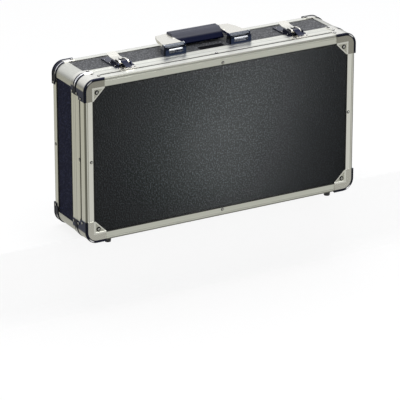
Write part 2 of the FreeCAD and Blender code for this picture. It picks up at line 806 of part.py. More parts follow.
# Rubber feet under the hinge side, tapered towards the sole
def feet(label, depth, rootZ):
    stand = []
    for end in (-1, 1):
        foot = newBody(f"{label}_{'left' if end < 0 else 'right'}")
        sketch = newSketch(foot, "XZ_Plane")
        sole = s.footRadius - s.footTaper
        outline(sketch, [(zero, rootZ), (zero, zero), (sole, zero), (s.footRadius, rootZ)])
        turned = foot.newObject("PartDesign::Revolution", foot.Name + "_turned")
        turned.Profile = sketch
        turned.ReferenceAxis = (sketch, ["V_Axis"])
        turned.Angle = 360
        bind(foot, "Placement.Base.x", (endX - s.footInset) * end)
        bind(foot, "Placement.Base.y", depth)
        stand.append(foot)
    keep(group(label, stand))


feet("tray_feet", faceY + s.trayFootDepth, baseZ)
feet("lid_feet", backY - s.lidFootInset, baseZ + s.railWall)

# Hinges: the tray leaf has the two end knuckles and the pin, the lid leaf the middle knuckle
hingeZ = baseZ - s.hingeDrop
leafTop = baseZ
leafLow = baseZ - s.leafThick
endKnuckle = (s.hingeLength - s.hingeMiddle) / 2 - s.hingePlay
leafEnd = s.knuckleRadius + s.hingePlay


# A leaf lies on one side of the seam, and has knuckles only where its own are
def hingeLeaf(label, way, knuckles, bore):
    body = keep(newBody(label))
    start, end = seamY + leafEnd * way, seamY + s.leafReach * way
    plate = [(start, leafLow), (end, leafLow), (end, leafTop), (start, leafTop)]
    prism(body, "YZ_Plane", [plate], zero, s.hingeLength, middle=True)
    root = start + s.leafThick * way
    knuckle = [
        (seamY + s.knuckleRadius * way, hingeZ),
        (seamY, hingeZ - s.knuckleRadius, seamY, hingeZ),
        (seamY - s.knuckleRadius * way, hingeZ, seamY, hingeZ),
        (seamY, hingeZ + s.knuckleRadius, seamY, hingeZ),
        (root, leafTop - s.hingePlay),
        (root, leafLow),
    ]
    for low, length in knuckles:
        prism(body, "YZ_Plane", [knuckle], low, length)
    prism(body, "YZ_Plane", [(seamY, hingeZ, bore)], zero, s.hingeLength, cut=True, middle=True)
    return body


# The same straight pin on both sides of the case
def pinPair(label, spread, y, z, radius, length):
    pins = []
    for sign in (-1, 1):
        pin = newBody(label + ("_left" if sign < 0 else "_right"))
        prism(pin, "YZ_Plane", [(y, z, radius)], zero, length, middle=True)
        bind(pin, "Placement.Base.x", spread * sign)
        pins.append(pin)
    keep(group(label, pins))


ends = [(-(s.hingeLength / 2), endKnuckle), (s.hingeLength / 2 - endKnuckle, endKnuckle)]
centre = [(-(s.hingeMiddle / 2), s.hingeMiddle)]
for side, sign in (("left", -1), ("right", 1)):
    trayLeaf = hingeLeaf("tray_hinge_leaf_" + side, -1, ends, s.pinRadius)
    lidLeaf = hingeLeaf("lid_hinge_leaf_" + side, 1, centre, s.pinRadius + s.pinPlay)
    for piece in (trayLeaf, lidLeaf):
        bind(piece, "Placement.Base.x", hardwareX * sign)
pinPair("hinge_pins", hardwareX, seamY, hingeZ, s.pinRadius, s.hingeLength)

# Handle brackets: folded plates with looped cheeks, and a front plate whose window two bars cross
pivotY = seamY + s.closureBand + s.fitGap + s.bracketDepth / 2
boardTopZ = topZ - s.railWall
pivotZ = topZ + s.handlePivotRise
cheekNear, cheekFar = pivotY - s.bracketDepth / 2, pivotY + s.bracketDepth / 2
shoulderZ = topZ + s.bracketFront
bracketBase = rectangle(cheekNear, boardTopZ, cheekFar, topZ + s.bracketSheet)
frontPlate = rectangle(cheekNear, topZ, cheekNear + s.bracketSheet, shoulderZ)
bracketCheek = [
    (cheekNear, boardTopZ),
    (cheekFar, boardTopZ),
    (cheekFar, topZ + s.bracketSill),
    (pivotY + s.loopRadius, pivotZ),
    (pivotY, pivotZ + s.loopRadius, pivotY, pivotZ),
    (pivotY - s.loopRadius, pivotZ, pivotY, pivotZ),
    (pivotY - s.loopRadius, shoulderZ),
    (cheekNear, shoulderZ),
]
windowHalfX = s.bracketLength / 2 - s.bracketPost
frontWindow = rectangle(-windowHalfX, topZ + s.bracketSill, windowHalfX, shoulderZ + s.overrun)
bars = [
    (cheekNear + s.barRadius, topZ + s.barRise, s.barRadius),
    (cheekNear + s.thinBarRadius, topZ + s.thinBarRise, s.thinBarRadius),
]
for side, sign in (("left", -1), ("right", 1)):
    bracket = keep(newBody("handle_bracket_" + side))
    prism(bracket, "YZ_Plane", [bracketBase], zero, s.bracketLength, middle=True)
    for low in (-(s.bracketLength / 2), s.bracketLength / 2 - s.bracketSheet):
        prism(bracket, "YZ_Plane", [bracketCheek], low, s.bracketSheet)
    prism(bracket, "YZ_Plane", [frontPlate], zero, s.bracketLength, middle=True)
    prism(bracket, "XZ_Plane", [frontWindow], cheekNear - s.overrun, s.bracketSheet + s.overrun, cut=True)
    for bar in bars:
        prism(bracket, "YZ_Plane", [bar], zero, s.bracketLength, middle=True)
    bore = (pivotY, pivotZ, s.handlePinRadius)
    prism(bracket, "YZ_Plane", [bore], zero, s.bracketLength + s.overrun, cut=True, middle=True)
    bind(bracket, "Placement.Base.x", s.bracketSpread * sign)
pinPair("handle_pins", s.bracketSpread, pivotY, pivotZ, s.handlePinRadius, s.bracketLength)

# Handle: a moulded grip on a steel strip, with a cast arm at each end
gripLow = pivotZ - s.gripDrop
gripHigh = pivotZ + s.gripTop
gripNearY = pivotY + s.gripNear
gripFarY = pivotY + s.gripFar
gripRoundShare = 0.2
gripLineShares = (0.33, 0.67)
gripRound = (s.gripTop + s.gripDrop) * gripRoundShare
gripCrownY = gripNearY + s.gripLean + gripRound
gripBackY = gripFarY - gripRound
grip = keep(newBody("handle_grip"))
gripSection = [
    (gripBackY, gripLow),
    (gripFarY, gripLow + gripRound, gripBackY, gripLow + gripRound),
    (gripFarY, gripHigh - gripRound),
    (gripBackY, gripHigh, gripBackY, gripHigh - gripRound),
]
for share in gripLineShares:
    lineY = gripBackY + (gripCrownY - gripBackY) * share
    gripSection += [
        (lineY + s.gripRidge, gripHigh),
        (lineY, gripHigh - s.gripRidge),
        (lineY - s.gripRidge, gripHigh),
    ]
gripSection += [
    (gripCrownY, gripHigh),
    (gripNearY + s.gripLean, gripHigh - gripRound / 2),
    (gripNearY, gripLow + gripRound),
    (gripNearY + gripRound, gripLow, gripNearY + gripRound, gripLow + gripRound),
]
prism(grip, "YZ_Plane", [gripSection], zero, 2 * s.gripHalf, middle=True)
coreY = (gripNearY + gripFarY) / 2
coreHalf = s.coreWidth / 2
coreRise = s.coreThick / 2
coreSection = rectangle(coreY - coreHalf, pivotZ - coreRise, coreY + coreHalf, pivotZ + coreRise)
prism(grip, "YZ_Plane", [coreSection], zero, 2 * s.gripHalf + s.overrun, cut=True, middle=True)
core = keep(newBody("handle_core"))
prism(core, "YZ_Plane", [coreSection], zero, 2 * s.gripHalf, middle=True)
armLowShare = 0.4
armLow = pivotZ - s.armThick * armLowShare
barrelHalf = s.bracketLength / 2 - s.bracketSheet - s.fitGap * 2
for side, sign in (("left", -1), ("right", 1)):
    arm = keep(newBody("handle_arm_" + side))
    innerX, outerX = s.bracketSpread - barrelHalf, s.bracketSpread + barrelHalf
    plan = [
        (innerX * sign, pivotY),
        (outerX * sign, pivotY),
        (outerX * sign, cheekFar),
        (s.armReach * sign, gripNearY + s.gripLean),
        ((s.armReach - s.gripLean / 2) * sign, gripBackY),
        (s.gripHalf * sign, gripFarY),
        (s.gripHalf * sign, gripNearY),
        (innerX * sign, cheekFar),
    ]
    prism(arm, "XY_Plane", [plan], armLow, s.armThick)
    low = innerX if sign > 0 else -outerX
    prism(arm, "YZ_Plane", [(pivotY, pivotZ, s.barrelRadius)], low, outerX - innerX)
    prism(arm, "YZ_Plane", [(pivotY, pivotZ, s.handlePinRadius + s.pinPlay)], low, outerX - innerX, cut=True)
    block = [
        (s.gripHalf * sign, gripNearY + gripRound),
        ((s.gripHalf + gripRound) * sign, gripNearY + gripRound),
        ((s.gripHalf + gripRound) * sign, gripBackY),
        (s.gripHalf * sign, gripBackY),
    ]
    prism(arm, "XY_Plane", [block], gripLow + gripRound, gripHigh - gripLow - gripRound * 2)

# Latch bases: a stepped plate on the closure rail and the board, with two cheeks for the lever pin
latchNearY = seamY + s.latchNear
latchFarY = backY - s.rearBand - s.latchClear
bandEndY = seamY + s.closureBand + s.fitGap
latchPlate = [
    (latchNearY, topZ),
    (bandEndY, topZ),
    (bandEndY, boardTopZ),
    (latchFarY, boardTopZ),
    (latchFarY, topZ + s.latchSheet),
    (latchNearY, topZ + s.latchSheet),
]
leverY = seamY + s.leverPivotBack
leverZ = topZ + s.leverPivotRise
clawY = seamY + s.clawPivotBack
clawZ = topZ + s.clawPivotRise
cheekHeight = topZ + s.latchCheek
boxEndY = seamY + s.leverBoxEnd
tipY = latchFarY - s.leverShort
# places along the lever's tail, from the end of its box to its tip
cheekEndShare = 0.3
tailBendShare = 0.55
latchCheekEndY = boxEndY + (tipY - boxEndY) * cheekEndShare
latchCheek = [
    (latchNearY, topZ),
    (latchCheekEndY, topZ),
    (latchCheekEndY - s.latchCheek / 2, cheekHeight),
    (latchNearY + s.latchCheek / 3, cheekHeight),
    (latchNearY, cheekHeight - s.latchCheek / 3),
]
leverTopZ = topZ + s.leverTop
tailLow = topZ + s.leverTail
tailBendY = boxEndY + (tipY - boxEndY) * tailBendShare
leverSection = [
    (leverY - s.leverBarrel, leverZ),
    (leverY, leverZ - s.leverBarrel, leverY, leverZ),
    (leverY + s.leverBarrel, leverZ, leverY, leverZ),
    (leverY + s.leverBarrel, tailLow),
    (tailBendY, tailLow),
    (tipY, tailLow + s.tailRise),
    (tipY, tailLow + s.tailRise + s.latchSheet),
    (tailBendY, tailLow + s.latchSheet),
    (boxEndY, tailLow + s.latchSheet),
    (boxEndY - s.latchSheet, leverTopZ),
    (leverY, leverTopZ),
    (leverY - s.leverBarrel, leverZ + s.leverBarrel),
]
# the slot in the lever's near end, in which the claw works
clawSlot = [
    (seamY - s.overrun, leverZ + s.leverBarrel + s.fitGap),
    (clawY - s.clawBarrel - s.fitGap, leverZ + s.leverBarrel + s.fitGap),
    (clawY - s.clawBarrel - s.fitGap, clawZ - s.clawBarrel - 2 * s.fitGap),
    (seamY + s.clawSlotEnd, clawZ - s.clawBarrel - 2 * s.fitGap),
    (seamY + s.clawSlotEnd, leverTopZ + s.overrun),
    (seamY - s.overrun, leverTopZ + s.overrun),
]
clawTopZ = clawZ + s.clawBarrel
clawTipY = seamY - s.clawReach
clawTipZ = topZ + s.clawLift
clawSection = [
    (clawY + s.clawBarrel, clawZ, clawY, clawZ),
    (clawY, clawTopZ, clawY, clawZ),
    (leverY - s.leverBarrel, clawTopZ),
    (seamY - s.clawKnee, topZ + s.clawKneeRise),
    (clawTipY + s.clawThick, clawTipZ + s.clawThick),
    (clawTipY, clawTipZ + s.clawThick),
    (clawTipY, clawTipZ),
    (clawTipY + s.clawThick, clawTipZ),
    (seamY - s.clawKnee, topZ + s.clawKneeRise - s.clawThick),
    (leverY - s.leverBarrel, clawTopZ - s.clawThick),
    (clawY - s.clawBarrel, clawTopZ - s.clawThick),
    (clawY - s.clawBarrel, clawZ),
    (clawY, clawZ - s.clawBarrel, clawY, clawZ),
]


tipRoundShare = 0.25
tipRound = s.leverWidth * tipRoundShare


# What lies outside a quarter round at one corner of the lever's tip
def tipCorner(way):
    side = s.leverWidth / 2 * way
    centreX = side - tipRound * way
    past = side + s.overrun * way
    return [
        (past, tipY - tipRound),
        (past, tipY + s.overrun),
        (centreX, tipY + s.overrun),
        (centreX, tipY),
        (side, tipY - tipRound, centreX, tipY - tipRound),
    ]


strikeHighY = seamY - s.strikeNear
strikeLowY = strikeHighY - s.strikeDepth
strikeTop = topZ + s.strikeSheet
strikeMidY = strikeHighY - s.strikeDepth / 2
windowHalf = s.strikeWindow / 2
windowRimShare = 0.15
strikeWindow = rectangle(-windowHalf, strikeMidY, windowHalf, strikeHighY - s.strikeDepth * windowRimShare)
strikeHorn = [
    (strikeLowY, strikeTop),
    (strikeMidY, strikeTop),
    (strikeMidY, topZ + s.strikeHorn),
    (strikeLowY + s.strikeSheet, topZ + s.strikeHorn),
]
for side, sign in (("left", -1), ("right", 1)):
    base = keep(newBody("latch_base_" + side))
    prism(base, "YZ_Plane", [latchPlate], zero, s.latchWidth + 2 * s.latchWing, middle=True)
    for low in (-(s.latchWidth / 2), s.latchWidth / 2 - s.latchSheet):
        prism(base, "YZ_Plane", [latchCheek], low, s.latchSheet)
    leverBore = (leverY, leverZ, s.leverPin)
    prism(base, "YZ_Plane", [leverBore], zero, s.latchWidth + s.overrun, cut=True, middle=True)
    bind(base, "Placement.Base.x", hardwareX * sign)
    lever = keep(newBody("latch_lever_" + side))
    prism(lever, "YZ_Plane", [leverSection], zero, s.leverWidth, middle=True)
    prism(lever, "YZ_Plane", [clawSlot], zero, s.clawWidth + 2 * s.fitGap, cut=True, middle=True)
    for way in (-1, 1):
        hole = (s.tailHoleSpread * way, (boxEndY + tailBendY) / 2, s.tailHole)
        prism(lever, "XY_Plane", [hole, tipCorner(way)], topZ, s.leverTop + s.overrun, cut=True)
    looseBore = (leverY, leverZ, s.leverPin + s.pinPlay)
    prism(lever, "YZ_Plane", [looseBore], zero, s.latchWidth, cut=True, middle=True)
    prism(lever, "YZ_Plane", [(clawY, clawZ, s.clawPin)], zero, s.latchWidth, cut=True, middle=True)
    bind(lever, "Placement.Base.x", hardwareX * sign)
    clawPin = keep(newBody("claw_pin_" + side))
    prism(clawPin, "YZ_Plane", [(clawY, clawZ, s.clawPin)], zero, s.leverWidth, middle=True)
    bind(clawPin, "Placement.Base.x", hardwareX * sign)
    claw = keep(newBody("latch_claw_" + side))
    prism(claw, "YZ_Plane", [clawSection], zero, s.clawWidth, middle=True)
    clawBore = (clawY, clawZ, s.clawPin + s.pinPlay)
    prism(claw, "YZ_Plane", [clawBore], zero, s.latchWidth, cut=True, middle=True)
    bind(claw, "Placement.Base.x", hardwareX * sign)

    strike = keep(newBody("strike_" + side))
    plate = rectangle(strikeLowY, topZ, strikeHighY, strikeTop)
    prism(strike, "YZ_Plane", [plate], zero, s.strikeLength, middle=True)
    prism(strike, "XY_Plane", [strikeWindow], topZ - s.overrun, s.overrun * 2, cut=True)
    prism(strike, "YZ_Plane", [strikeHorn], zero, s.strikeWindow - s.strikeSheet * 2, middle=True)
    bind(strike, "Placement.Base.x", hardwareX * sign)
pinPair("lever_pins", hardwareX, leverY, leverZ, s.leverPin, s.latchWidth)

# Rivets of the latches, hinges and strikes
latchRivetShares = (0.15, 0.5, 0.85)
hingeRivetShares = (-0.38, 0, 0.38)
leafRivetShare = 0.68
latchRivets, hingeRivets, strikeRivets = [], [], []
wingX = (s.latchWidth + s.latchWing) / 2
latchZ = topZ + s.latchSheet
for sign in (-1, 1):
    for end in (-1, 1):
        x = hardwareX * sign + wingX * end
        for share in latchRivetShares:
            y = latchNearY + (latchFarY - latchNearY) * share
            latchRivets.append(((x, y, latchZ), (0, 0, 1)))
        strikeX = hardwareX * sign + (s.strikeWindow + s.strikeLength) / 4 * end
        strikeRivets.append(((strikeX, (strikeLowY + strikeHighY) / 2, strikeTop), (0, 0, 1)))
    for share in hingeRivetShares:
        x = hardwareX * sign + s.hingeLength * share
        hingeRivets.append(((x, s.leafReach * leafRivetShare, leafLow), (0, 0, -1)))
heads("latch_rivets", rivetForm, latchRivets)
heads("strike_rivets", rivetForm, strikeRivets)
heads("tray_hinge_rivets", rivetForm, [((x, seamY - y, z), facing) for (x, y, z), facing in hingeRivets])
heads("lid_hinge_rivets", rivetForm, [((x, seamY + y, z), facing) for (x, y, z), facing in hingeRivets])

doc.recompute()
for thing in doc.Objects:
    if "Invalid" in thing.State or "Error" in thing.State:
        raise RuntimeError(f"{thing.Label} failed: {thing.State}")
for piece in pieces:
    if piece.Shape.isNull() or not piece.Shape.isValid():
        raise RuntimeError(f"{piece.Label} has no valid shape")

os.makedirs("parts", exist_ok=True)
for piece in pieces:
    piece.Shape.exportStep(f"parts/{piece.Label}.step")
    print(piece.Label, len(piece.Shape.Solids), "solids")
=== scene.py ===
import math

import bmesh
import bpy
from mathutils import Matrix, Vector


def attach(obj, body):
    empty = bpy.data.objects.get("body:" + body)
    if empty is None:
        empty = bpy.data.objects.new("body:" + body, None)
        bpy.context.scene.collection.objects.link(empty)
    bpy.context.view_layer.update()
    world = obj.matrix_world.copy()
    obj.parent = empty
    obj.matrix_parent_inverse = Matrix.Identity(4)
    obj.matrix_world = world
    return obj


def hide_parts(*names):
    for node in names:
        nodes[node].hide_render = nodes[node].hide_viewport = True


# A carrying case with a shallow tray and a deep lid, closed and standing on its hinge side.
# Lengths are in metres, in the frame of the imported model: X along, Y from the tray's face to the
# lid's back, Z up.
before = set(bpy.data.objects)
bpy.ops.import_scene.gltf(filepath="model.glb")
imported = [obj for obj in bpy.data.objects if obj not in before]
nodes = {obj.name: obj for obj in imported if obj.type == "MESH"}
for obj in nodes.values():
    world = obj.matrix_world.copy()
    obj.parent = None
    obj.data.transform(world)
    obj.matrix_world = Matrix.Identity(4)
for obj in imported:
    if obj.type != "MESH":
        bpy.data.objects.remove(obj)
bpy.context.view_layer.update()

mm = 0.001
far = 1.0  # a limit that nothing reaches
pastTurn = 2.0  # a turn round a corner is never more than 1
softEdge = 0.4 * mm
noiseMiddle = 0.5
white = (1, 1, 1, 1)

caseShape = {
    "halfLength": 345 * mm,
    "halfHeight": 189 * mm,
    "middleZ": 199 * mm,
    "cornerRadius": 26 * mm,
    "closureEndY": -13 * mm,
    "rearRailY": 59 * mm,
    "boardTopZ": 386.8 * mm,
}


# Node helpers

def newMaterial(name):
    material = bpy.data.materials.new(name)
    material.use_nodes = True
    tree = material.node_tree
    tree.nodes.clear()
    output = tree.nodes.new("ShaderNodeOutputMaterial")
    shader = tree.nodes.new("ShaderNodeBsdfPrincipled")
    tree.links.new(shader.outputs["BSDF"], output.inputs["Surface"])
    return material, tree, shader


# An input that is a socket is linked, and any other is a value to set
def setInputs(tree, node, inputs):
    for key, value in inputs.items():
        if isinstance(value, bpy.types.NodeSocket):
            tree.links.new(value, node.inputs[key])
        else:
            node.inputs[key].default_value = value


def addNode(tree, kind, inputs=None, **settings):
    node = tree.nodes.new(kind)
    for key, value in settings.items():
        setattr(node, key, value)
    setInputs(tree, node, inputs or {})
    return node


def addMath(tree, operation, *values):
    return addNode(tree, "ShaderNodeMath", dict(enumerate(values)), operation=operation).outputs[0]


def addVectorMath(tree, operation, *values):
    outputs = addNode(tree, "ShaderNodeVectorMath", dict(enumerate(values)), operation=operation).outputs
    return outputs["Vector" if operation == "MULTIPLY" else "Value"]


def addRange(tree, value, fromMin, fromMax, toMin=0.0, toMax=1.0):
    limits = {"From Min": fromMin, "From Max": fromMax, "To Min": toMin, "To Max": toMax}
    return addNode(tree, "ShaderNodeMapRange", {"Value": value, **limits}).outputs[0]


def addNoise(tree, vector, look):
    return addNode(tree, "ShaderNodeTexNoise", {"Vector": vector, **look}).outputs["Fac"]


def addBump(tree, strength, distance, height):
    inputs = {"Strength": strength, "Distance": distance, "Height": height}
    return addNode(tree, "ShaderNodeBump", inputs).outputs["Normal"]


def objectPlace(tree):
    return addNode(tree, "ShaderNodeTexCoord").outputs["Object"]


def splitUp(tree, vector):
    return addNode(tree, "ShaderNodeSeparateXYZ", {"Vector": vector}).outputs


def joinUp(tree, x, y):
    return addNode(tree, "ShaderNodeCombineXYZ", {"X": x, "Y": y}).outputs[0]


def addUp(tree, total, *parts):
    for part in parts:
        total = addMath(tree, "ADD", total, part)
    return total


def allOf(tree, mask, *others):
    for other in others:
        mask = addMath(tree, "MULTIPLY", mask, other)
    return mask


# A Mix node has its colours on sockets 6 and 7, and the mixed one on its output 2
def mixColour(tree, factor, *colours):
    first, second = (value if isinstance(value, bpy.types.NodeSocket) else (*value, 1) for value in colours)
    inputs = {"Factor": factor, 6: first, 7: second}
    return addNode(tree, "ShaderNodeMix", inputs, data_type="RGBA", clamp_factor=True).outputs[2]


# One colour laid over another where all the masks are 1
def paint(tree, under, colour, *masks):
    return mixColour(tree, allOf(tree, *masks), under, colour)


def scaledColour(colour, lift):
    return tuple(lift * value for value in colour)


# A group's inputs and outputs are numbers, apart from a triple and a normal, which are vectors
def newGroup(name, inputs, outputs):
    group = bpy.data.node_groups.new(name, "ShaderNodeTree")
    for label, value in inputs.items():
        kind = "NodeSocketVector" if isinstance(value, tuple) else "NodeSocketFloat"
        socket = group.interface.new_socket(name=label, in_out="INPUT", socket_type=kind)
        socket.default_value = value
    for label in outputs:
        kind = "NodeSocketVector" if label == "Normal" else "NodeSocketFloat"
        group.interface.new_socket(name=label, in_out="OUTPUT", socket_type=kind)
    given = group.nodes.new("NodeGroupInput").outputs
    end = group.nodes.new("NodeGroupOutput")
    return group, given, end


def placeGroup(tree, group, inputs):
    return addNode(tree, "ShaderNodeGroup", inputs, node_tree=group).outputs


# Shared effects

brushLook = {
    "inputs": {"Stretch": (20, 900, 900), "Depth": 0.3, "Spread": 0.1},
    "noise": {"Scale": 1.0, "Detail": 4.0, "Roughness": 0.7},
    "bumpDistance": 0.2 * mm,
}


# Fine straight brush lines, long along one axis. The stretch is the noise scale on each axis.
def makeBrushGroup():
    look = brushLook
    group, given, end = newGroup("brushLines", look["inputs"], ("Lines", "Normal"))
    scaled = addVectorMath(group, "MULTIPLY", objectPlace(group), given["Stretch"])
    fine = addNoise(group, scaled, look["noise"])
    centred = addMath(group, "SUBTRACT", fine, noiseMiddle)
    setInputs(group, end, {
        "Lines": addMath(group, "MULTIPLY", centred, given["Spread"]),
        "Normal": addBump(group, given["Depth"], look["bumpDistance"], fine),
    })
    return group


marksLook = {
    "inputs": {"Scale": 12.0, "Amount": 0.1},
    "noise": {"Detail": 6.0, "Roughness": 0.62, "Distortion": 0.6},
}


# Soft cloudy marks from handling
def makeMarksGroup():
    look = marksLook
    group, given, end = newGroup("handlingMarks", look["inputs"], ("Marks",))
    clouds = addNoise(group, objectPlace(group), {"Scale": given["Scale"], **look["noise"]})
    centred = addMath(group, "SUBTRACT", clouds, noiseMiddle)
    setInputs(group, end, {"Marks": addMath(group, "MULTIPLY", centred, given["Amount"])})
    return group


edgeLook = {
    "inputs": {"Radius": 1.0 * mm, "Amount": 0.5},
    "samples": 4,
    "lean": (0.99, 0.75),
    "patchNoise": {"Scale": 60.0, "Detail": 5.0},
    "patches": (0.42, 0.6),
}


# Worn edges, from how far a rounded normal leans off the true one, broken up in patches
def makeEdgeGroup():
    look = edgeLook
    group, given, end = newGroup("edgeWear", look["inputs"], ("Wear",))
    rounded = addNode(group, "ShaderNodeBevel", {"Radius": given["Radius"]}, samples=look["samples"])
    true = addNode(group, "ShaderNodeNewGeometry")
    lean = addVectorMath(group, "DOT_PRODUCT", rounded.outputs["Normal"], true.outputs["Normal"])
    patches = addNoise(group, objectPlace(group), look["patchNoise"])
    both = addMath(group, "MULTIPLY", addRange(group, lean, *look["lean"]),
                   addRange(group, patches, *look["patches"]))
    setInputs(group, end, {"Wear": addMath(group, "MULTIPLY", both, given["Amount"])})
    return group


# Where a point lies on the case: inset from the outside, depth along Y, how far round a corner it
# is, and its distances from the end and from the top or bottom
def makePlaceGroup():
    group, given, end = newGroup(
        "placeOnCase",
        {"Half Length": caseShape["halfLength"], "Half Height": caseShape["halfHeight"],
         "Middle Height": caseShape["middleZ"], "Corner Radius": caseShape["cornerRadius"]},
        ("Inset", "Depth", "Turn", "Along", "Down"),
    )
    parts = splitUp(group, objectPlace(group))
    along = addMath(group, "SUBTRACT", given["Half Length"], addMath(group, "ABSOLUTE", parts["X"]))
    rise = addMath(group, "SUBTRACT", parts["Z"], given["Middle Height"])
    down = addMath(group, "SUBTRACT", given["Half Height"], addMath(group, "ABSOLUTE", rise))
    past = []
    for distance in (along, down):
        left = addMath(group, "SUBTRACT", given["Corner Radius"], distance)
        past.append(addMath(group, "MAXIMUM", left, 0.0))
    reach = addVectorMath(group, "LENGTH", joinUp(group, *past))
    setInputs(group, end, {
        "Inset": addMath(group, "SUBTRACT", given["Corner Radius"], reach),
        "Depth": parts["Y"],
        "Turn": addMath(group, "DIVIDE", past[0], addUp(group, *past)),
        "Along": along,
        "Down": down,
    })
    return group


# 1 where a value lies between two limits, with soft ends
def makeBandGroup():
    inputs = {"Value": 0.0, "Low": 0.0, "High": 1.0, "Soft": 0.3 * mm}
    group, given, end = newGroup("softBand", inputs, ("Mask",))
    ends = []
    for limit, first, second in (("Low", "SUBTRACT", "ADD"), ("High", "ADD", "SUBTRACT")):
        outside = addMath(group, first, given[limit], given["Soft"])
        inside = addMath(group, second, given[limit], given["Soft"])
        ends.append(addRange(group, given["Value"], outside, inside))
    setInputs(group, end, {"Mask": allOf(group, *ends)})
    return group


grainLook = {
    "inputs": {"Scale": 300.0, "Depth": 0.5},
    "noise": {"Detail": 1.6, "Roughness": 0.5, "Distortion": 0.2},
    "flecks": (0.51, 0.64),
    "pitScale": 2.6,
    "pitShare": 0.10,
    "bumpDistance": 0.8 * mm,
}


# The embossed grain of the laminate: pits and flecks of a few millimetres
def makeGrainGroup():
    look = grainLook
    group, given, end = newGroup("laminateGrain", look["inputs"], ("Flecks", "Normal"))
    place = objectPlace(group)
    coarse = addNoise(group, place, {"Scale": given["Scale"], **look["noise"]})
    pitScale = addMath(group, "MULTIPLY", given["Scale"], look["pitScale"])
    pits = addNode(group, "ShaderNodeTexVoronoi", {"Vector": place, "Scale": pitScale}).outputs["Distance"]
    height = addUp(group, coarse, addMath(group, "MULTIPLY", pits, look["pitShare"]))
    setInputs(group, end, {
        "Flecks": addRange(group, coarse, *look["flecks"]),
        "Normal": addBump(group, given["Depth"], look["bumpDistance"], height),
    })
    return group


brushGroup = makeBrushGroup()
marksGroup = makeMarksGroup()
edgeGroup = makeEdgeGroup()
placeGroupOnCase = makePlaceGroup()
bandGroup = makeBandGroup()
grainGroup = makeGrainGroup()
print("shared effects made")


def band(tree, value, low, high, soft=softEdge):
    return placeGroup(tree, bandGroup, {"Value": value, "Low": low, "High": high, "Soft": soft})["Mask"]


# 1 where a value is further out than a limit, on either side of the middle
def beyond(tree, value, limit, soft=softEdge):
    return addUp(tree, band(tree, value, -far, -limit, soft), band(tree, value, limit, far, soft))


# Metals

polishLook = {
    "marksScale": 14.0,
    "wear": {"Radius": 0.4 * mm, "Amount": 0.8},
    "wornLift": 1.12,
    "toneShare": 0.3,
}


def brushedTone(tree, shader, metal):
    look = polishLook
    brush = {"Stretch": metal["stretch"], "Depth": metal["depth"], "Spread": metal["spread"]}
    lines = placeGroup(tree, brushGroup, brush)
    cloud = placeGroup(tree, marksGroup, {"Scale": look["marksScale"], "Amount": metal["marks"]})
    wear = placeGroup(tree, edgeGroup, look["wear"])
    setInputs(tree, shader, {
        "Metallic": 1.0,
        "Roughness": addUp(tree, metal["roughness"], lines["Lines"], cloud["Marks"]),
        "Normal": lines["Normal"],
    })
    reach = look["toneShare"] * metal["spread"]
    share = addRange(tree, lines["Lines"], -reach, reach)
    brushed = mixColour(tree, share, metal["tone"], metal["colour"])
    wearAndHighlight = tuple(min(1, value) for value in scaledColour(metal["colour"], look["wornLift"]))
    return mixColour(tree, wear["Wear"], brushed, wearAndHighlight)


def brushedMetal(name, metal):
    material, tree, shader = newMaterial(name)
    setInputs(tree, shader, {"Base Color": brushedTone(tree, shader, metal)})
    return material


railLook = {
    "colour": (0.86, 0.86, 0.80),
    "tone": (0.74, 0.74, 0.68),
    "roughness": 0.34,
    "depth": 0.12,
    "spread": 0.16,
    "marks": 0.10,
    "groove": (0.030, 0.028, 0.020),
    "shadow": (0.03, 0.03, 0.03),
    "arris": (0.17, 0.17, 0.145),
    "line": (0.50, 0.50, 0.45),
    # the face flange's tone: topFlange painted darker and sideFlange paler, as painted light and shade on
    # the same aluminium
    "topFlange": (0.78, 0.79, 0.72),
    "sideFlange": (1.00, 1.00, 0.94),
    "outsideInset": (-far, 4.4 * mm),
    "flangeDepth": 75.2 * mm,
    "flangeInset": (3.2 * mm, far),
    "lineInset": (5.6 * mm, 8.0 * mm),
    "lineShare": 0.75,
    "shadowInset": (19.0 * mm, far),
    "arrisDepth": 72.0 * mm,
    "arrisInset": (-far, 4.0 * mm),
    "arrisShare": 0.9,
}

# Depth from, depth to, colour and share: painted shade in the crease and the seam, and darker fine lines
# along the closure rail
grooveBands = (
    (-55.2 * mm, -47.6 * mm, "groove", 1.0),
    (-32.2 * mm, -30.6 * mm, "groove", 0.45),
    (-23.9 * mm, -21.9 * mm, "line", 0.6),
    (-15.0 * mm, -12.0 * mm, "line", 0.5),
)


# An extruded rail: bright, with painted shade in its grooves and along its rounded arris, a darker line on
# its face flange, a painted shadow where the flange meets the panel, and a flange tone per rail that is
# painted light and shade
def railMetal(name, stretch, flangeTone):
    look = railLook
    material, tree, shader = newMaterial(name)
    colour = brushedTone(tree, shader, {**look, "stretch": stretch})
    at = placeGroup(tree, placeGroupOnCase, {})
    inset, depth = at["Inset"], at["Depth"]
    outside = band(tree, inset, *look["outsideInset"])
    # painted shade in the crease and the seam, and the closure rail's darker lines
    for low, high, key, share in grooveBands:
        colour = paint(tree, colour, look[key], band(tree, depth, low, high), outside, share)
    flange = allOf(tree, beyond(tree, depth, look["flangeDepth"]), band(tree, inset, *look["flangeInset"]))
    # the flange tone of this rail, painted light and shade
    colour = paint(tree, colour, look[flangeTone], flange)
    onLine = band(tree, inset, *look["lineInset"])
    colour = paint(tree, colour, look["line"], flange, onLine, look["lineShare"])
    # painted shadow on the flange beside the panel
    colour = paint(tree, colour, look["shadow"], flange, band(tree, inset, *look["shadowInset"]))
    # painted shade along the rounded arris
    nearEdge = beyond(tree, depth, look["arrisDepth"])
    onArris = band(tree, inset, *look["arrisInset"])
    colour = paint(tree, colour, look["arris"], nearEdge, onArris, look["arrisShare"])
    setInputs(tree, shader, {"Base Color": colour})
    return material


railAlongX = railMetal("railAluminiumAlongX", (18, 1400, 1400), "topFlange")
railAlongZ = railMetal("railAluminiumAlongZ", (1400, 1400, 18), "sideFlange")

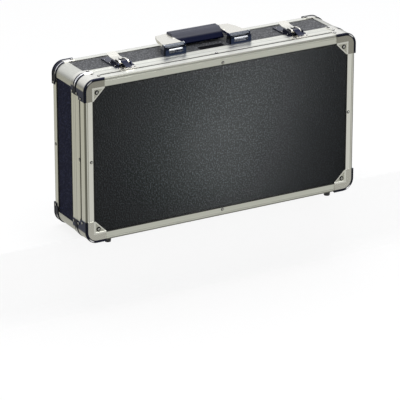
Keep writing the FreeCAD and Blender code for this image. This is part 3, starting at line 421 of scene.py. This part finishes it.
chromeLook = {"stretch": (260, 260, 260), "depth": 0.03, "spread": 0.06, "marks": 0.08}
nickelLook = {
    "colour": (0.88, 0.86, 0.79), "tone": (0.76, 0.74, 0.68), "roughness": 0.26,
    "stretch": (420, 420, 420), "depth": 0.05, "spread": 0.10, "marks": 0.10,
}

stripAlongY = brushedMetal("cornerStripAluminium", {
    "colour": (0.70, 0.70, 0.65), "tone": (0.52, 0.52, 0.48), "roughness": 0.36,
    "stretch": (1400, 30, 1400), "depth": 0.2, "spread": 0.22, "marks": 0.10,
})
# chrome painted dark navy all over, as a painted reflection of dark surroundings, for the latch's base and
# claw
paintedDarkReflectionChrome = brushedMetal("paintedDarkReflectionChrome", {
    **chromeLook, "colour": (0.034, 0.038, 0.070), "tone": (0.022, 0.026, 0.052), "roughness": 0.14,
})
brightChrome = brushedMetal("brightChrome", {
    **chromeLook, "colour": (0.62, 0.63, 0.66), "tone": (0.50, 0.51, 0.55), "roughness": 0.16,
})
satinNickel = brushedMetal("satinNickel", nickelLook)
pinSteel = brushedMetal("drawnPinSteel", {
    "colour": (0.50, 0.50, 0.50), "tone": (0.42, 0.42, 0.42), "roughness": 0.26,
    "stretch": (60, 900, 900), "depth": 0.08, "spread": 0.10, "marks": 0.06,
})
headSteel = brushedMetal("platedHeads", {
    "colour": (0.86, 0.85, 0.82), "tone": (0.70, 0.70, 0.68), "roughness": 0.18,
    "stretch": (500, 500, 500), "depth": 0.05, "spread": 0.10, "marks": 0.08,
})
# painted shade: near-black steel for the recesses and the seat rings of the heads
recessShadeSteel = brushedMetal("headRecessShade", {
    "colour": (0.020, 0.020, 0.020), "tone": (0.010, 0.010, 0.010), "roughness": 0.5,
    "stretch": (900, 900, 900), "depth": 0.05, "spread": 0.10, "marks": 0.06,
})


leverLook = {
    **nickelLook,
    "dark": (0.030, 0.032, 0.050),
    "eye": (220 * mm, -9 * mm, 0),
    "ring": (2.6 * mm, 6.4 * mm),
}


# A lever in satin plate, with a ring over its pin painted dark as the shade of a pressed ring
def leverMetal(name):
    look = leverLook
    material, tree, shader = newMaterial(name)
    colour = brushedTone(tree, shader, look)
    parts = splitUp(tree, objectPlace(tree))
    flat = joinUp(tree, addMath(tree, "ABSOLUTE", parts["X"]), parts["Y"])
    ring = band(tree, addVectorMath(tree, "DISTANCE", flat, look["eye"]), *look["ring"])
    # painted shade in the ring over the pin
    setInputs(tree, shader, {"Base Color": paint(tree, colour, look["dark"], ring)})
    return material


armLook = {
    **nickelLook,
    "barrel": (0.12, 0.13, 0.15),
    "barrelY": (-far, 1.5 * mm, 1.5 * mm),
}


# An arm in satin plate whose barrel, between the eyes of its bracket, is painted dark as shade
def armMetal(name):
    look = armLook
    material, tree, shader = newMaterial(name)
    colour = brushedTone(tree, shader, look)
    barrel = band(tree, splitUp(tree, objectPlace(tree))["Y"], *look["barrelY"])
    # painted shade on the barrel between the bracket's eyes
    setInputs(tree, shader, {"Base Color": paint(tree, colour, look["barrel"], barrel)})
    return material


leverNickel = leverMetal("leverNickel")
armNickel = armMetal("armNickel")


capLook = {
    "colour": (0.86, 0.85, 0.80),
    "tone": (0.76, 0.75, 0.70),
    "roughness": 0.26,
    "stretch": (300, 300, 300),
    "depth": 0.06,
    "spread": 0.10,
    "marks": 0.12,
    # painted reflections: dark, side, flange and lowFlange; painted highlights: rim and the bright line
    # colour; painted shade: pit
    "dark": (0.016, 0.018, 0.032),
    "side": (0.034, 0.040, 0.085),
    "flange": (0.39, 0.38, 0.335),
    "lowFlange": (0.66, 0.65, 0.60),
    "rim": (0.90, 0.90, 0.85),
    "tab": (0.56, 0.56, 0.50),
    # painted highlight along the beads and at the crown of the rolled arris
    "wearAndHighlight": (0.95, 0.95, 0.97),
    "pit": (0.03, 0.03, 0.03),
    "outsideInset": (-far, 0.6 * mm),
    "curveTurn": (0.45, pastTurn, 0.30),
    "curveShare": 0.6,
    "sideTurn": (0.93, pastTurn, 0.05),
    "beadTurn": (0.14, pastTurn, 0.06),
    # how far round a corner the painted highlight lines run
    "highlightTurn": (0.20, 0.88, 0.08),
    "faceDepth": (73.2 * mm, 0.2 * mm),
    "faceInset": (1.6 * mm, far),
    "highZ": (caseShape["middleZ"], far, 20 * mm),
    "rollDepth": (71.6 * mm, 0.3 * mm),
    "rollInset": (-far, 4.0 * mm, 0.3 * mm),
    "crownTurn": (0.28, 0.54, 0.05),
    "crownInset": (-0.6 * mm, 2.0 * mm, 0.3 * mm),
}

tabShape = {
    "centre": (29.8 * mm, 29.8 * mm, 0),
    "ring": (-far, 5.3 * mm),
    "slant": (67.8 * mm, far),
    "wall": (22.2 * mm, far),
    "rim": (18.4 * mm, 23.0 * mm),
    "rimStart": (18.4 * mm, far),
}


# A pressed cap. Its rolled edges are painted dark, as a painted reflection of dark surroundings in chrome,
# with a painted highlight at the crown, and the flange between them is painted matte grey as a painted
# reflection.
def capMetal(name, beads, wearAndHighlight):
    look = capLook
    material, tree, shader = newMaterial(name)
    colour = brushedTone(tree, shader, look)
    at = placeGroup(tree, placeGroupOnCase, {})
    inset, depth, turn, along, down = (at[key] for key in ("Inset", "Depth", "Turn", "Along", "Down"))
    outside = band(tree, inset, *look["outsideInset"])
    # painted reflection: the curve is painted matte and greyer towards the side, and the side legs are
    # painted dark
    curve = band(tree, turn, *look["curveTurn"])
    colour = paint(tree, colour, look["flange"], outside, curve, look["curveShare"])
    colour = paint(tree, colour, look["side"], outside, band(tree, turn, *look["sideTurn"]))
    # the beads at the open edges, painted dark as a painted reflection, with a painted highlight line along
    # them
    for places, around, tone in ((beads, "beadTurn", "dark"), (wearAndHighlight, "highlightTurn", "wearAndHighlight")):
        for low, high in places:
            masks = (band(tree, depth, low, high), band(tree, turn, *look[around]))
            colour = paint(tree, colour, look[tone], outside, *masks)
    # the face: flange, painted paler on the lower caps as a painted reflection of the floor, a painted
    # highlight on the rim and the triangular tab's slanted edge, and painted shade in the ring round the
    # tab's screw
    onFace = beyond(tree, depth, *look["faceDepth"])
    inFlange = allOf(tree, onFace, band(tree, inset, *look["faceInset"]))
    high = band(tree, splitUp(tree, objectPlace(tree))["Z"], *look["highZ"])
    flangeColour = mixColour(tree, high, look["lowFlange"], look["flange"])
    colour = paint(tree, colour, flangeColour, inFlange)
    past = allOf(tree, inFlange, *(band(tree, across, *tabShape["wall"]) for across in (along, down)))
    colour = paint(tree, colour, look["tab"], past)
    slant = band(tree, addUp(tree, along, down), *tabShape["slant"])
    colour = paint(tree, colour, look["rim"], past, slant)
    for across, other in ((along, down), (down, along)):
        rim = (band(tree, across, *tabShape["rim"]), band(tree, other, *tabShape["rimStart"]))
        colour = paint(tree, colour, look["rim"], inFlange, *rim)
    reach = addVectorMath(tree, "DISTANCE", joinUp(tree, along, down), tabShape["centre"])
    colour = paint(tree, colour, look["pit"], past, band(tree, reach, *tabShape["ring"]))
    # the rolled arris, painted dark all round as a painted reflection, with a painted highlight at its
    # crown
    roll = allOf(tree, beyond(tree, depth, *look["rollDepth"]), band(tree, inset, *look["rollInset"]))
    colour = paint(tree, colour, look["dark"], roll)
    crown = (band(tree, turn, *look["crownTurn"]), band(tree, inset, *look["crownInset"]))
    colour = paint(tree, colour, look["wearAndHighlight"], roll, *crown)
    setInputs(tree, shader, {"Base Color": colour})
    return material


# The depths of the painted dark beads of each kind of cap, and of the painted highlight lines on them
capBeads = {
    "face": {
        "beads": ((-39.4 * mm, -31.2 * mm), (58.6 * mm, 80.0 * mm)),
        "wearAndHighlight": ((-33.6 * mm, -31.2 * mm), (60.4 * mm, 62.4 * mm)),
    },
    "seam": {
        "beads": ((-31.2 * mm, -23.2 * mm),),
        "wearAndHighlight": ((-31.2 * mm, -29.2 * mm),),
    },
}

faceCapMetal = capMetal("pressedCapMetal", **capBeads["face"])
seamCapMetal = capMetal("pressedSeamCapMetal", **capBeads["seam"])


bracketLook = {
    **chromeLook,
    "colour": (0.70, 0.72, 0.76),
    "tone": (0.60, 0.62, 0.66),
    "roughness": 0.14,
    "dark": (0.012, 0.017, 0.034),
    "grey": (0.20, 0.21, 0.25),
    "greyShare": 0.85,
    "middleX": 83.5 * mm,
    "loopZ": (-far, 399.5 * mm, 1.2 * mm),
    "frontY": (-far, -5.4 * mm, 1.0 * mm),
    "bars": ((392.6 * mm, 394.6 * mm), (398.4 * mm, 404.6 * mm), (409.6 * mm, 410.8 * mm)),
    "barX": (-far, 17 * mm),
}


# A folded chrome bracket with painted reflections: painted grey on its lower part and dark on its front,
# leaving bright bars across its window and bright loops
def bracketMetal(name):
    look = bracketLook
    material, tree, shader = newMaterial(name)
    colour = brushedTone(tree, shader, look)
    parts = splitUp(tree, objectPlace(tree))
    offX = addMath(tree, "SUBTRACT", addMath(tree, "ABSOLUTE", parts["X"]), look["middleX"])
    bars = addUp(tree, *(band(tree, parts["Z"], *bar) for bar in look["bars"]))
    window = allOf(tree, bars, band(tree, addMath(tree, "ABSOLUTE", offX), *look["barX"]))
    bare = addMath(tree, "SUBTRACT", 1.0, window)
    # painted reflection: grey on the lower part, then dark on the front apart from the window's bars
    colour = paint(tree, colour, look["grey"], band(tree, parts["Z"], *look["loopZ"]), look["greyShare"])
    colour = paint(tree, colour, look["dark"], band(tree, parts["Y"], *look["frontY"]), bare)
    setInputs(tree, shader, {"Base Color": colour})
    return material


bracketChrome = bracketMetal("foldedBracketChrome")
print("metals made")


# Laminate, felt and rubber

# One laminate in three copies, lit and shaded: the top one painted paler and the side one paler than the
# face one, with how light falls on each
laminateLook = {
    "face": {
        "colour": (0.0001, 0.0002, 0.0010), "fleck": (0.0150, 0.0172, 0.0198), "specular": 0.07,
        "roughness": 0.30, "scale": 280.0, "depth": 0.60, "mottle": 0.10,
    },
    "side": {
        "colour": (0.0035, 0.0045, 0.0180), "fleck": (0.014, 0.017, 0.042), "specular": 0.04,
        "roughness": 0.42, "scale": 330.0, "depth": 0.5, "mottle": 0.06,
    },
    "top": {
        "colour": (0.0140, 0.0150, 0.0180), "fleck": (0.085, 0.088, 0.098), "specular": 0.50,
        "roughness": 0.40, "scale": 330.0, "depth": 1.0, "mottle": 0.10,
    },
}

# What all boards share, with a painted shadow as a black line where a board runs under a rail
boardLook = {
    "marks": {"Scale": 6.0, "Amount": 0.16},
    "wear": {"Radius": 0.5 * mm, "Amount": 0.4},
    "wornLift": 6,
    "line": (0.0015, 0.0015, 0.002),
    "lineWidth": 5 * mm,
    "sideInset": (-far, 3 * mm),
    "faceInset": (20 * mm, 24.5 * mm, 0.8 * mm),
}


def grainedLaminate(name, look):
    board = boardLook
    material, tree, shader = newMaterial(name)
    grain = placeGroup(tree, grainGroup, {"Scale": look["scale"], "Depth": look["depth"]})
    cloud = placeGroup(tree, marksGroup, board["marks"])
    wear = placeGroup(tree, edgeGroup, board["wear"])
    speckled = mixColour(tree, grain["Flecks"], look["colour"], look["fleck"])
    wearAndHighlight = mixColour(tree, wear["Wear"], speckled, scaledColour(look["colour"], board["wornLift"]))
    at = placeGroup(tree, placeGroupOnCase, {})
    # painted shadow: a black line where a board runs under a rail
    front, rear, width = caseShape["closureEndY"], caseShape["rearRailY"], board["lineWidth"]
    edges = addUp(tree, band(tree, at["Depth"], front, front + width),
                  band(tree, at["Depth"], rear - width, rear))
    onSides = allOf(tree, edges, band(tree, at["Inset"], *board["sideInset"]))
    onFaces = band(tree, at["Inset"], *board["faceInset"])
    mottle = addRange(tree, grain["Flecks"], 0.0, 1.0, look["mottle"], -look["mottle"])
    setInputs(tree, shader, {
        "Base Color": mixColour(tree, addUp(tree, onSides, onFaces), wearAndHighlight, board["line"]),
        "Roughness": addUp(tree, look["roughness"], cloud["Marks"], mottle),
        "Normal": grain["Normal"],
        "Specular IOR Level": look["specular"],
    })
    return material


# painted light and shade: the face, side and top boards get lit and shaded copies of one laminate
faceLaminate = grainedLaminate("faceLaminate", laminateLook["face"])
sideLaminate = grainedLaminate("sideLaminate", laminateLook["side"])
topLaminate = grainedLaminate("topLaminate", laminateLook["top"])


feltLook = {
    "colour": (0.016, 0.012, 0.020),
    "fibre": (0.050, 0.040, 0.062),
    "fibreShare": (0.35, 0.75),
    "noise": {"Scale": 900.0, "Detail": 8.0, "Roughness": 0.8, "Distortion": 2.0},
    "marks": {"Scale": 9.0, "Amount": 1.2},
    "roughness": 0.92,
    "bump": (0.8, 0.6 * mm),
    "sheen": 0.4,
    "sheenRoughness": 0.5,
}


def pressedFelt(name):
    look = feltLook
    material, tree, shader = newMaterial(name)
    tangled = addNoise(tree, objectPlace(tree), look["noise"])
    cloud = placeGroup(tree, marksGroup, look["marks"])
    share = addRange(tree, addUp(tree, tangled, cloud["Marks"]), *look["fibreShare"])
    setInputs(tree, shader, {
        "Base Color": mixColour(tree, share, look["colour"], look["fibre"]),
        "Roughness": addUp(tree, look["roughness"], cloud["Marks"]),
        "Normal": addBump(tree, *look["bump"], tangled),
        "Sheen Weight": look["sheen"],
        "Sheen Roughness": look["sheenRoughness"],
    })
    return material


felt = pressedFelt("liningFelt")


rubberLook = {
    "detail": 3.0,
    "marks": {"Scale": 20.0, "Amount": 0.2},
    "wear": {"Radius": 0.8 * mm, "Amount": 0.5},
    "wornLift": 3,
    "bump": (0.15, 0.2 * mm),
}

footLook = {"colour": (0.018, 0.018, 0.020), "roughness": 0.6, "grain": 1200.0, "specular": 0.5}


def mouldedRubber(name, look):
    rubber = rubberLook
    material, tree, shader = newMaterial(name)
    fine = addNoise(tree, objectPlace(tree), {"Scale": look["grain"], "Detail": rubber["detail"]})
    cloud = placeGroup(tree, marksGroup, rubber["marks"])
    wear = placeGroup(tree, edgeGroup, rubber["wear"])
    wearAndHighlight = scaledColour(look["colour"], rubber["wornLift"])
    setInputs(tree, shader, {
        "Base Color": mixColour(tree, wear["Wear"], look["colour"], wearAndHighlight),
        "Roughness": addUp(tree, look["roughness"], cloud["Marks"]),
        "Normal": addBump(tree, *rubber["bump"], fine),
        "Specular IOR Level": look["specular"],
    })
    return material


gripLook = {
    "front": (0.0034, 0.0050, 0.0200),
    "top": (0.095, 0.097, 0.115),
    "topShare": 0.8,
    "topZ": (404 * mm, far, 2 * mm),
    "topY": (36 * mm, far, 2 * mm),
    "roughness": 0.24,
    "specular": 0.03,
    "streaks": {"Stretch": (6, 260, 260), "Depth": 0.1, "Spread": 0.5},
}


# The moulded grip: dark blue in front, with a painted sheen of pale streaks along the top of its far half
def mouldedGrip(name):
    look = gripLook
    material, tree, shader = newMaterial(name)
    parts = splitUp(tree, objectPlace(tree))
    lines = placeGroup(tree, brushGroup, look["streaks"])
    cloud = placeGroup(tree, marksGroup, rubberLook["marks"])
    # painted sheen: the top paler than the front
    onTop = allOf(tree, band(tree, parts["Z"], *look["topZ"]), band(tree, parts["Y"], *look["topY"]),
                  addUp(tree, look["topShare"], lines["Lines"]))
    setInputs(tree, shader, {
        "Base Color": mixColour(tree, onTop, look["front"], look["top"]),
        "Roughness": addUp(tree, look["roughness"], cloud["Marks"]),
        "Normal": lines["Normal"],
        "Specular IOR Level": look["specular"],
    })
    return material


gripPlastic = mouldedGrip("mouldedGrip")
footRubber = mouldedRubber("footRubber", footLook)
print("laminate, felt and rubber made")


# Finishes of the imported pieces. The first word that a piece's name holds gives its finish.

finishes = (
    ("felt", felt),
    ("feet", footRubber),
    ("screws", headSteel),
    ("rivets", headSteel),
    ("tray_face_panel", faceLaminate),
    ("lid_back_panel", faceLaminate),
    ("lid_wall_top", topLaminate),
    ("lid_wall", sideLaminate),
    ("lid_closure_caps", seamCapMetal),
    ("caps", faceCapMetal),
    ("strips", stripAlongY),
    ("posts", stripAlongY),
    ("rail_top", railAlongX),
    ("rail_bottom", railAlongX),
    ("rail", railAlongZ),
    ("handle_grip", gripPlastic),
    ("handle_core", pinSteel),
    ("pin", pinSteel),
    ("handle_arm", armNickel),
    ("latch_lever", leverNickel),
    ("strike", satinNickel),
    ("handle_bracket", bracketChrome),
    ("latch_claw", paintedDarkReflectionChrome),
    ("latch_base", paintedDarkReflectionChrome),
    ("", brightChrome),
)

for name, node in nodes.items():
    node.data.materials.clear()
    node.data.materials.append(next(finish for word, finish in finishes if word in name))
print("packed pieces finished:", len(nodes))


# Heads of screws and rivets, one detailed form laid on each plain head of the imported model

headLook = {
    "merge": 0.01 * mm,
    "sides": 24,
    "topShare": 0.64,
    "rimShare": 0.80,
    "flatShare": 0.54,
    "flatRise": 0.95,
    "floorShare": 0.8,
    "slotHalf": 0.4 * mm,
    "slotReach": 1.5 * mm,
    "slotDepth": 0.9 * mm,
    "dimpleSides": 12,
    "dimpleShare": 0.42,
    "dimpleDepth": 0.5 * mm,
}


# A new object of a built mesh, in the scene
def meshObject(name, build, *materials):
    mesh = bpy.data.meshes.new(name)
    build.to_mesh(mesh)
    build.free()
    for material in materials:
        mesh.materials.append(material)
    made = bpy.data.objects.new(name, mesh)
    bpy.context.scene.collection.objects.link(made)
    return made


# All the vertices that hang together with one of those waiting
def takePart(waiting):
    edge = [waiting.pop()]
    part = list(edge)
    while edge:
        vertex = edge.pop()
        for link in vertex.link_edges:
            other = link.other_vert(vertex)
            if other in waiting:
                waiting.remove(other)
                edge.append(other)
                part.append(other)
    return part


# The plain heads of a node: the middle of each one's root, the way it faces, its radius and rise.
# They are sorted by place, so that every run lays them in the same order.
def headPlaces(nodeName):
    build = bmesh.new()
    build.from_mesh(nodes[nodeName].data)
    bmesh.ops.remove_doubles(build, verts=build.verts, dist=headLook["merge"])
    caseMiddle = (0, 0, caseShape["middleZ"])
    waiting, places = set(build.verts), []
    while waiting:
        part = takePart(waiting)
        low = Vector([min(vertex.co[axis] for vertex in part) for axis in range(3)])
        high = Vector([max(vertex.co[axis] for vertex in part) for axis in range(3)])
        span, middle = high - low, (low + high) / 2
        axis = min(range(3), key=lambda which: span[which])
        facing = Vector((0, 0, 0))
        facing[axis] = 1 if middle[axis] > caseMiddle[axis] else -1
        places.append((middle - facing * span[axis] / 2, facing, max(span) / 2, span[axis]))
    build.free()
    return sorted(places, key=lambda head: tuple(head[0]))


def roundOutline(reach, sides):
    turns = [2 * math.pi * step / sides for step in range(sides)]
    return [(reach * math.cos(turn), reach * math.sin(turn)) for turn in turns]


# A recess gives its outline and its depth. The pressed cross has one size on every head.
def slotRecess(radius):
    half, reach = headLook["slotHalf"], headLook["slotReach"]
    outline, quarter = [], [(reach, half), (half, half), (half, reach)]
    for _ in range(4):
        outline += quarter
        quarter = [(-y, x) for x, y in quarter]
    return outline, headLook["slotDepth"]


def dimpleRecess(radius):
    return roundOutline(radius * headLook["dimpleShare"], headLook["dimpleSides"]), headLook["dimpleDepth"]


# One head with a recess in its top. The seat ring and the recess have the second material, painted
# near-black as shade.
def headForm(build, place, facing, radius, rise, recess):
    look = headLook
    across = facing.orthogonal().normalized()
    upward = facing.cross(across)

    def lay(outline, height):
        return [build.verts.new(place + across * x + upward * y + facing * height) for x, y in outline]

    steps = ((1.0, 0.0), (look["topShare"], look["rimShare"]), (look["flatShare"], look["flatRise"]))
    rings = [lay(roundOutline(radius * reach, look["sides"]), rise * height) for reach, height in steps]
    for lower, upper in zip(rings, rings[1:]):
        for step in range(look["sides"]):
            after = (step + 1) % look["sides"]
            side = build.faces.new((lower[step], lower[after], upper[after], upper[step]))
            side.smooth = True
            side.material_index = 1 if lower is rings[0] else 0
    outline, depth = recess(radius)
    lip = lay(outline, rise)
    floor = lay([(look["floorShare"] * x, look["floorShare"] * y) for x, y in outline], rise - depth)
    loops = []
    for loop in (rings[-1], lip):
        for pair in zip(loop, loop[1:] + loop[:1]):
            loops.append(build.edges.get(pair) or build.edges.new(pair))
    for face in bmesh.ops.triangle_fill(build, use_beauty=True, edges=loops, normal=facing)["geom"]:
        if isinstance(face, bmesh.types.BMFace) and all(vertex in lip for vertex in face.verts):
            build.faces.remove(face)
    for step in range(len(outline)):
        after = (step + 1) % len(outline)
        build.faces.new((lip[step], lip[after], floor[after], floor[step])).material_index = 1
    build.faces.new(floor).material_index = 1
    build.faces.new(rings[0])


def makeHeads(name, nodeName, body, recess):
    build = bmesh.new()
    for place, facing, radius, rise in headPlaces(nodeName):
        headForm(build, place, facing, radius, rise, recess)
    bmesh.ops.recalc_face_normals(build, faces=build.faces)
    heads = meshObject(name, build, headSteel, recessShadeSteel)
    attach(heads, body)
    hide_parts(nodeName)


for name, nodeName, body, recess in (
    ("trayScrewHeads", "tray_screws", "tray", slotRecess),
    ("lidScrewHeads", "lid_screws", "lid", slotRecess),
    ("latchRivetHeads", "latch_rivets", "lid", dimpleRecess),
    ("strikeRivetHeads", "strike_rivets", "tray", dimpleRecess),
    ("trayHingeRivetHeads", "tray_hinge_rivets", "tray", dimpleRecess),
    ("lidHingeRivetHeads", "lid_hinge_rivets", "lid", dimpleRecess),
):
    makeHeads(name, nodeName, body, recess)
print("heads made")


# The bare plate between the handle brackets

plateShape = {
    "middleX": 13 * mm,
    "middleY": -2.5 * mm,
    "length": 62 * mm,
    "width": 20 * mm,
    "thick": 0.8 * mm,
    "round": 0.3 * mm,
    "roundSteps": 2,
}

plateLook = {"colour": (0.0020, 0.0020, 0.0030), "roughness": 0.30, "grain": 900.0, "specular": 0.02}


def makePlate():
    shape = plateShape
    build = bmesh.new()
    bmesh.ops.create_cube(build, size=1.0)
    for vertex in build.verts:
        x, y, z = vertex.co
        vertex.co = Vector((shape["middleX"] + x * shape["length"], shape["middleY"] + y * shape["width"],
                            caseShape["boardTopZ"] + (z + 0.5) * shape["thick"]))
    bmesh.ops.bevel(build, geom=build.edges[:], offset=shape["round"], segments=shape["roundSteps"],
                    affect="EDGES")
    plate = meshObject("barePlate", build, mouldedRubber("plateEnamel", plateLook))
    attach(plate, "lid")


makePlate()
print("plate made")


# Stage, light and camera

stageShape = {
    "frontY": -0.012,
    "width": 14.0,
    "back": 14.0,
    "front": 14.0,
    "drop": 0.17,
    "fillet": 0.03,
    "filletSteps": 16,
    "edge": 0.004,
    "edgeSteps": 6,
}

stageLook = {
    "paint": {"Base Color": (0.86, 0.86, 0.86, 1), "Roughness": 0.7, "Specular IOR Level": 0.1},
    "frontGlow": (0.56, 0.56, 0.53),
    "leftGlow": (0.50, 0.49, 0.42),
    "leftX": (-0.7, -0.2),
    "paperShare": 0.84,
}


# White paper to the camera, and a glow of plain levels to glossy rays
def stageMaterial():
    look = stageLook
    material, tree, shader = newMaterial("paleStage")
    setInputs(tree, shader, look["paint"])
    path = addNode(tree, "ShaderNodeLightPath").outputs
    seen = addMath(tree, "MAXIMUM", path["Is Camera Ray"], path["Is Glossy Ray"])
    seenToo = addMath(tree, "MAXIMUM", seen, path["Is Transmission Ray"])
    whole = addRange(tree, path["Is Camera Ray"], 0.0, 1.0, 1.0, look["paperShare"])
    spot = splitUp(tree, addNode(tree, "ShaderNodeNewGeometry").outputs["Position"])
    aside = addRange(tree, spot["X"], *look["leftX"])
    reflected = mixColour(tree, aside, look["leftGlow"], look["frontGlow"])
    colour = mixColour(tree, path["Is Camera Ray"], reflected, white[:3])
    paper = addNode(tree, "ShaderNodeEmission", {"Color": colour, "Strength": 1.0})
    share = addMath(tree, "MULTIPLY", seenToo, whole)
    layers = {0: share, 1: shader.outputs["BSDF"], 2: paper.outputs["Emission"]}
    mix = addNode(tree, "ShaderNodeMixShader", layers)
    tree.links.new(mix.outputs[0], tree.nodes["Material Output"].inputs["Surface"])
    return material


# Parts of a quarter turn, from none to all
def quarterTurns(steps):
    return [math.pi / 2 * step / steps for step in range(steps + 1)]


# A plinth with a small round at its front edge and a fillet at its foot
def makeStage():
    shape = stageShape
    profile = [(shape["back"], 0.0)]
    for turn in quarterTurns(shape["edgeSteps"]):
        profile.append((shape["frontY"] + shape["edge"] * (1 - math.sin(turn)),
                        -shape["edge"] * (1 - math.cos(turn))))
    for turn in quarterTurns(shape["filletSteps"]):
        profile.append((shape["frontY"] - shape["fillet"] * (1 - math.cos(turn)),
                        -shape["drop"] + shape["fillet"] * (1 - math.sin(turn))))
    profile.append((-shape["front"], -shape["drop"]))
    build = bmesh.new()
    rows = [[build.verts.new((side * shape["width"], y, z)) for y, z in profile] for side in (-1, 1)]
    for at in range(len(profile) - 1):
        build.faces.new((rows[0][at], rows[0][at + 1], rows[1][at + 1], rows[1][at])).smooth = True
    bmesh.ops.recalc_face_normals(build, faces=build.faces)
    stage = meshObject("stage", build, stageMaterial())


# The world's light grows with height, from low to high, and towards the back
worldLook = {
    "colour": (0.97, 0.98, 1, 1),
    "rise": (0.0, 0.36, 0.30, 1.08),
    "ahead": (-0.5, 0.3, 0.40, 1.0),
}


def makeWorld():
    look = worldLook
    world = bpy.data.worlds.new("studio")
    bpy.context.scene.world = world
    world.use_nodes = True
    tree = world.node_tree
    tree.nodes.clear()
    path = addNode(tree, "ShaderNodeLightPath").outputs
    seen = addMath(tree, "MAXIMUM", path["Is Camera Ray"], path["Is Transmission Ray"])
    way = splitUp(tree, addNode(tree, "ShaderNodeTexCoord").outputs["Generated"])
    level = addMath(tree, "MULTIPLY", addRange(tree, way["Z"], *look["rise"]),
                    addRange(tree, way["Y"], *look["ahead"]))
    soft = addNode(tree, "ShaderNodeBackground", {"Color": look["colour"], "Strength": level})
    shell = addNode(tree, "ShaderNodeBackground", {"Color": white, "Strength": 1.0})
    mix = addNode(tree, "ShaderNodeMixShader", {0: seen, 1: soft.outputs[0], 2: shell.outputs[0]})
    addNode(tree, "ShaderNodeOutputWorld", {"Surface": mix.outputs[0]})


lamps = {
    "topSoftbox": {"place": (0.1, -0.2, 2.4), "aim": (0, 0, 0.2), "size": 1.8, "power": 40},
    "frontFill": {"place": (1.3, -2.6, 1.5), "aim": (0, 0, 0.2), "size": 1.2, "power": 14},
    "leftStrip": {"place": (-2.4, -0.9, 1.2), "aim": (0, 0, 0.2), "size": 0.7, "power": 3},
}

panelCard = {
    "place": (0.32, -0.62, -0.05),
    "aim": (-0.01, -0.076, 0.22),
    "lean": math.radians(-16),
    "size": 0.16,
    "height": 0.74,
    "power": 12.0,
    "colour": (0.94, 1.0, 1.0),
}


def makeLamp(name, lamp):
    data = bpy.data.lights.new(name, "AREA")
    data.shape = "SQUARE"
    data.size = lamp["size"]
    data.energy = lamp["power"]
    light = bpy.data.objects.new(name, data)
    light.location = lamp["place"]
    light.rotation_euler = (Vector(lamp["aim"]) - Vector(lamp["place"])).to_track_quat("-Z", "Y").to_euler()
    bpy.context.scene.collection.objects.link(light)
    return light


# A soft card whose reflection shows in the middle of the face panel. It lights nothing else.
def makePanelCard():
    card = makeLamp("panelCard", panelCard)
    card.data.shape = "RECTANGLE"
    card.data.size_y = panelCard["height"]
    card.data.color = panelCard["colour"]
    card.rotation_euler.rotate_axis("Z", panelCard["lean"])
    card.visible_camera = False
    card.visible_diffuse = False
    lit = bpy.data.collections.new("litByCard")
    lit.objects.link(nodes["tray_face_panel"])
    card.light_linking.receiver_collection = lit
    card.light_linking.blocker_collection = lit


view = {
    "focalPixels": 3000,
    "frameWidth": 400,
    "sensor": 36,
    "yaw": 29.54,
    "pitch": 21.50,
    "distance": 6.717,
    "target": (-0.0583, -0.076, 0.0586),
    "clipStart": 0.1,
    "clipEnd": 100,
}


def makeCamera():
    data = bpy.data.cameras.new("camera")
    camera = bpy.data.objects.new("camera", data)
    yaw, pitch = math.radians(view["yaw"]), math.radians(view["pitch"])
    forward = Vector((math.sin(yaw) * math.cos(pitch), math.cos(yaw) * math.cos(pitch), -math.sin(pitch)))
    camera.location = Vector(view["target"]) - view["distance"] * forward
    camera.rotation_euler = forward.to_track_quat("-Z", "Y").to_euler()
    data.sensor_width = view["sensor"]
    data.lens = view["focalPixels"] / view["frameWidth"] * view["sensor"]
    data.clip_start = view["clipStart"]
    data.clip_end = view["clipEnd"]
    bpy.context.scene.collection.objects.link(camera)
    bpy.context.scene.camera = camera


makeStage()
makeWorld()
for name, lamp in lamps.items():
    makeLamp(name, lamp)
makePanelCard()
makeCamera()
bpy.context.scene.view_settings.view_transform = "Standard"
print("stage, light and camera made")
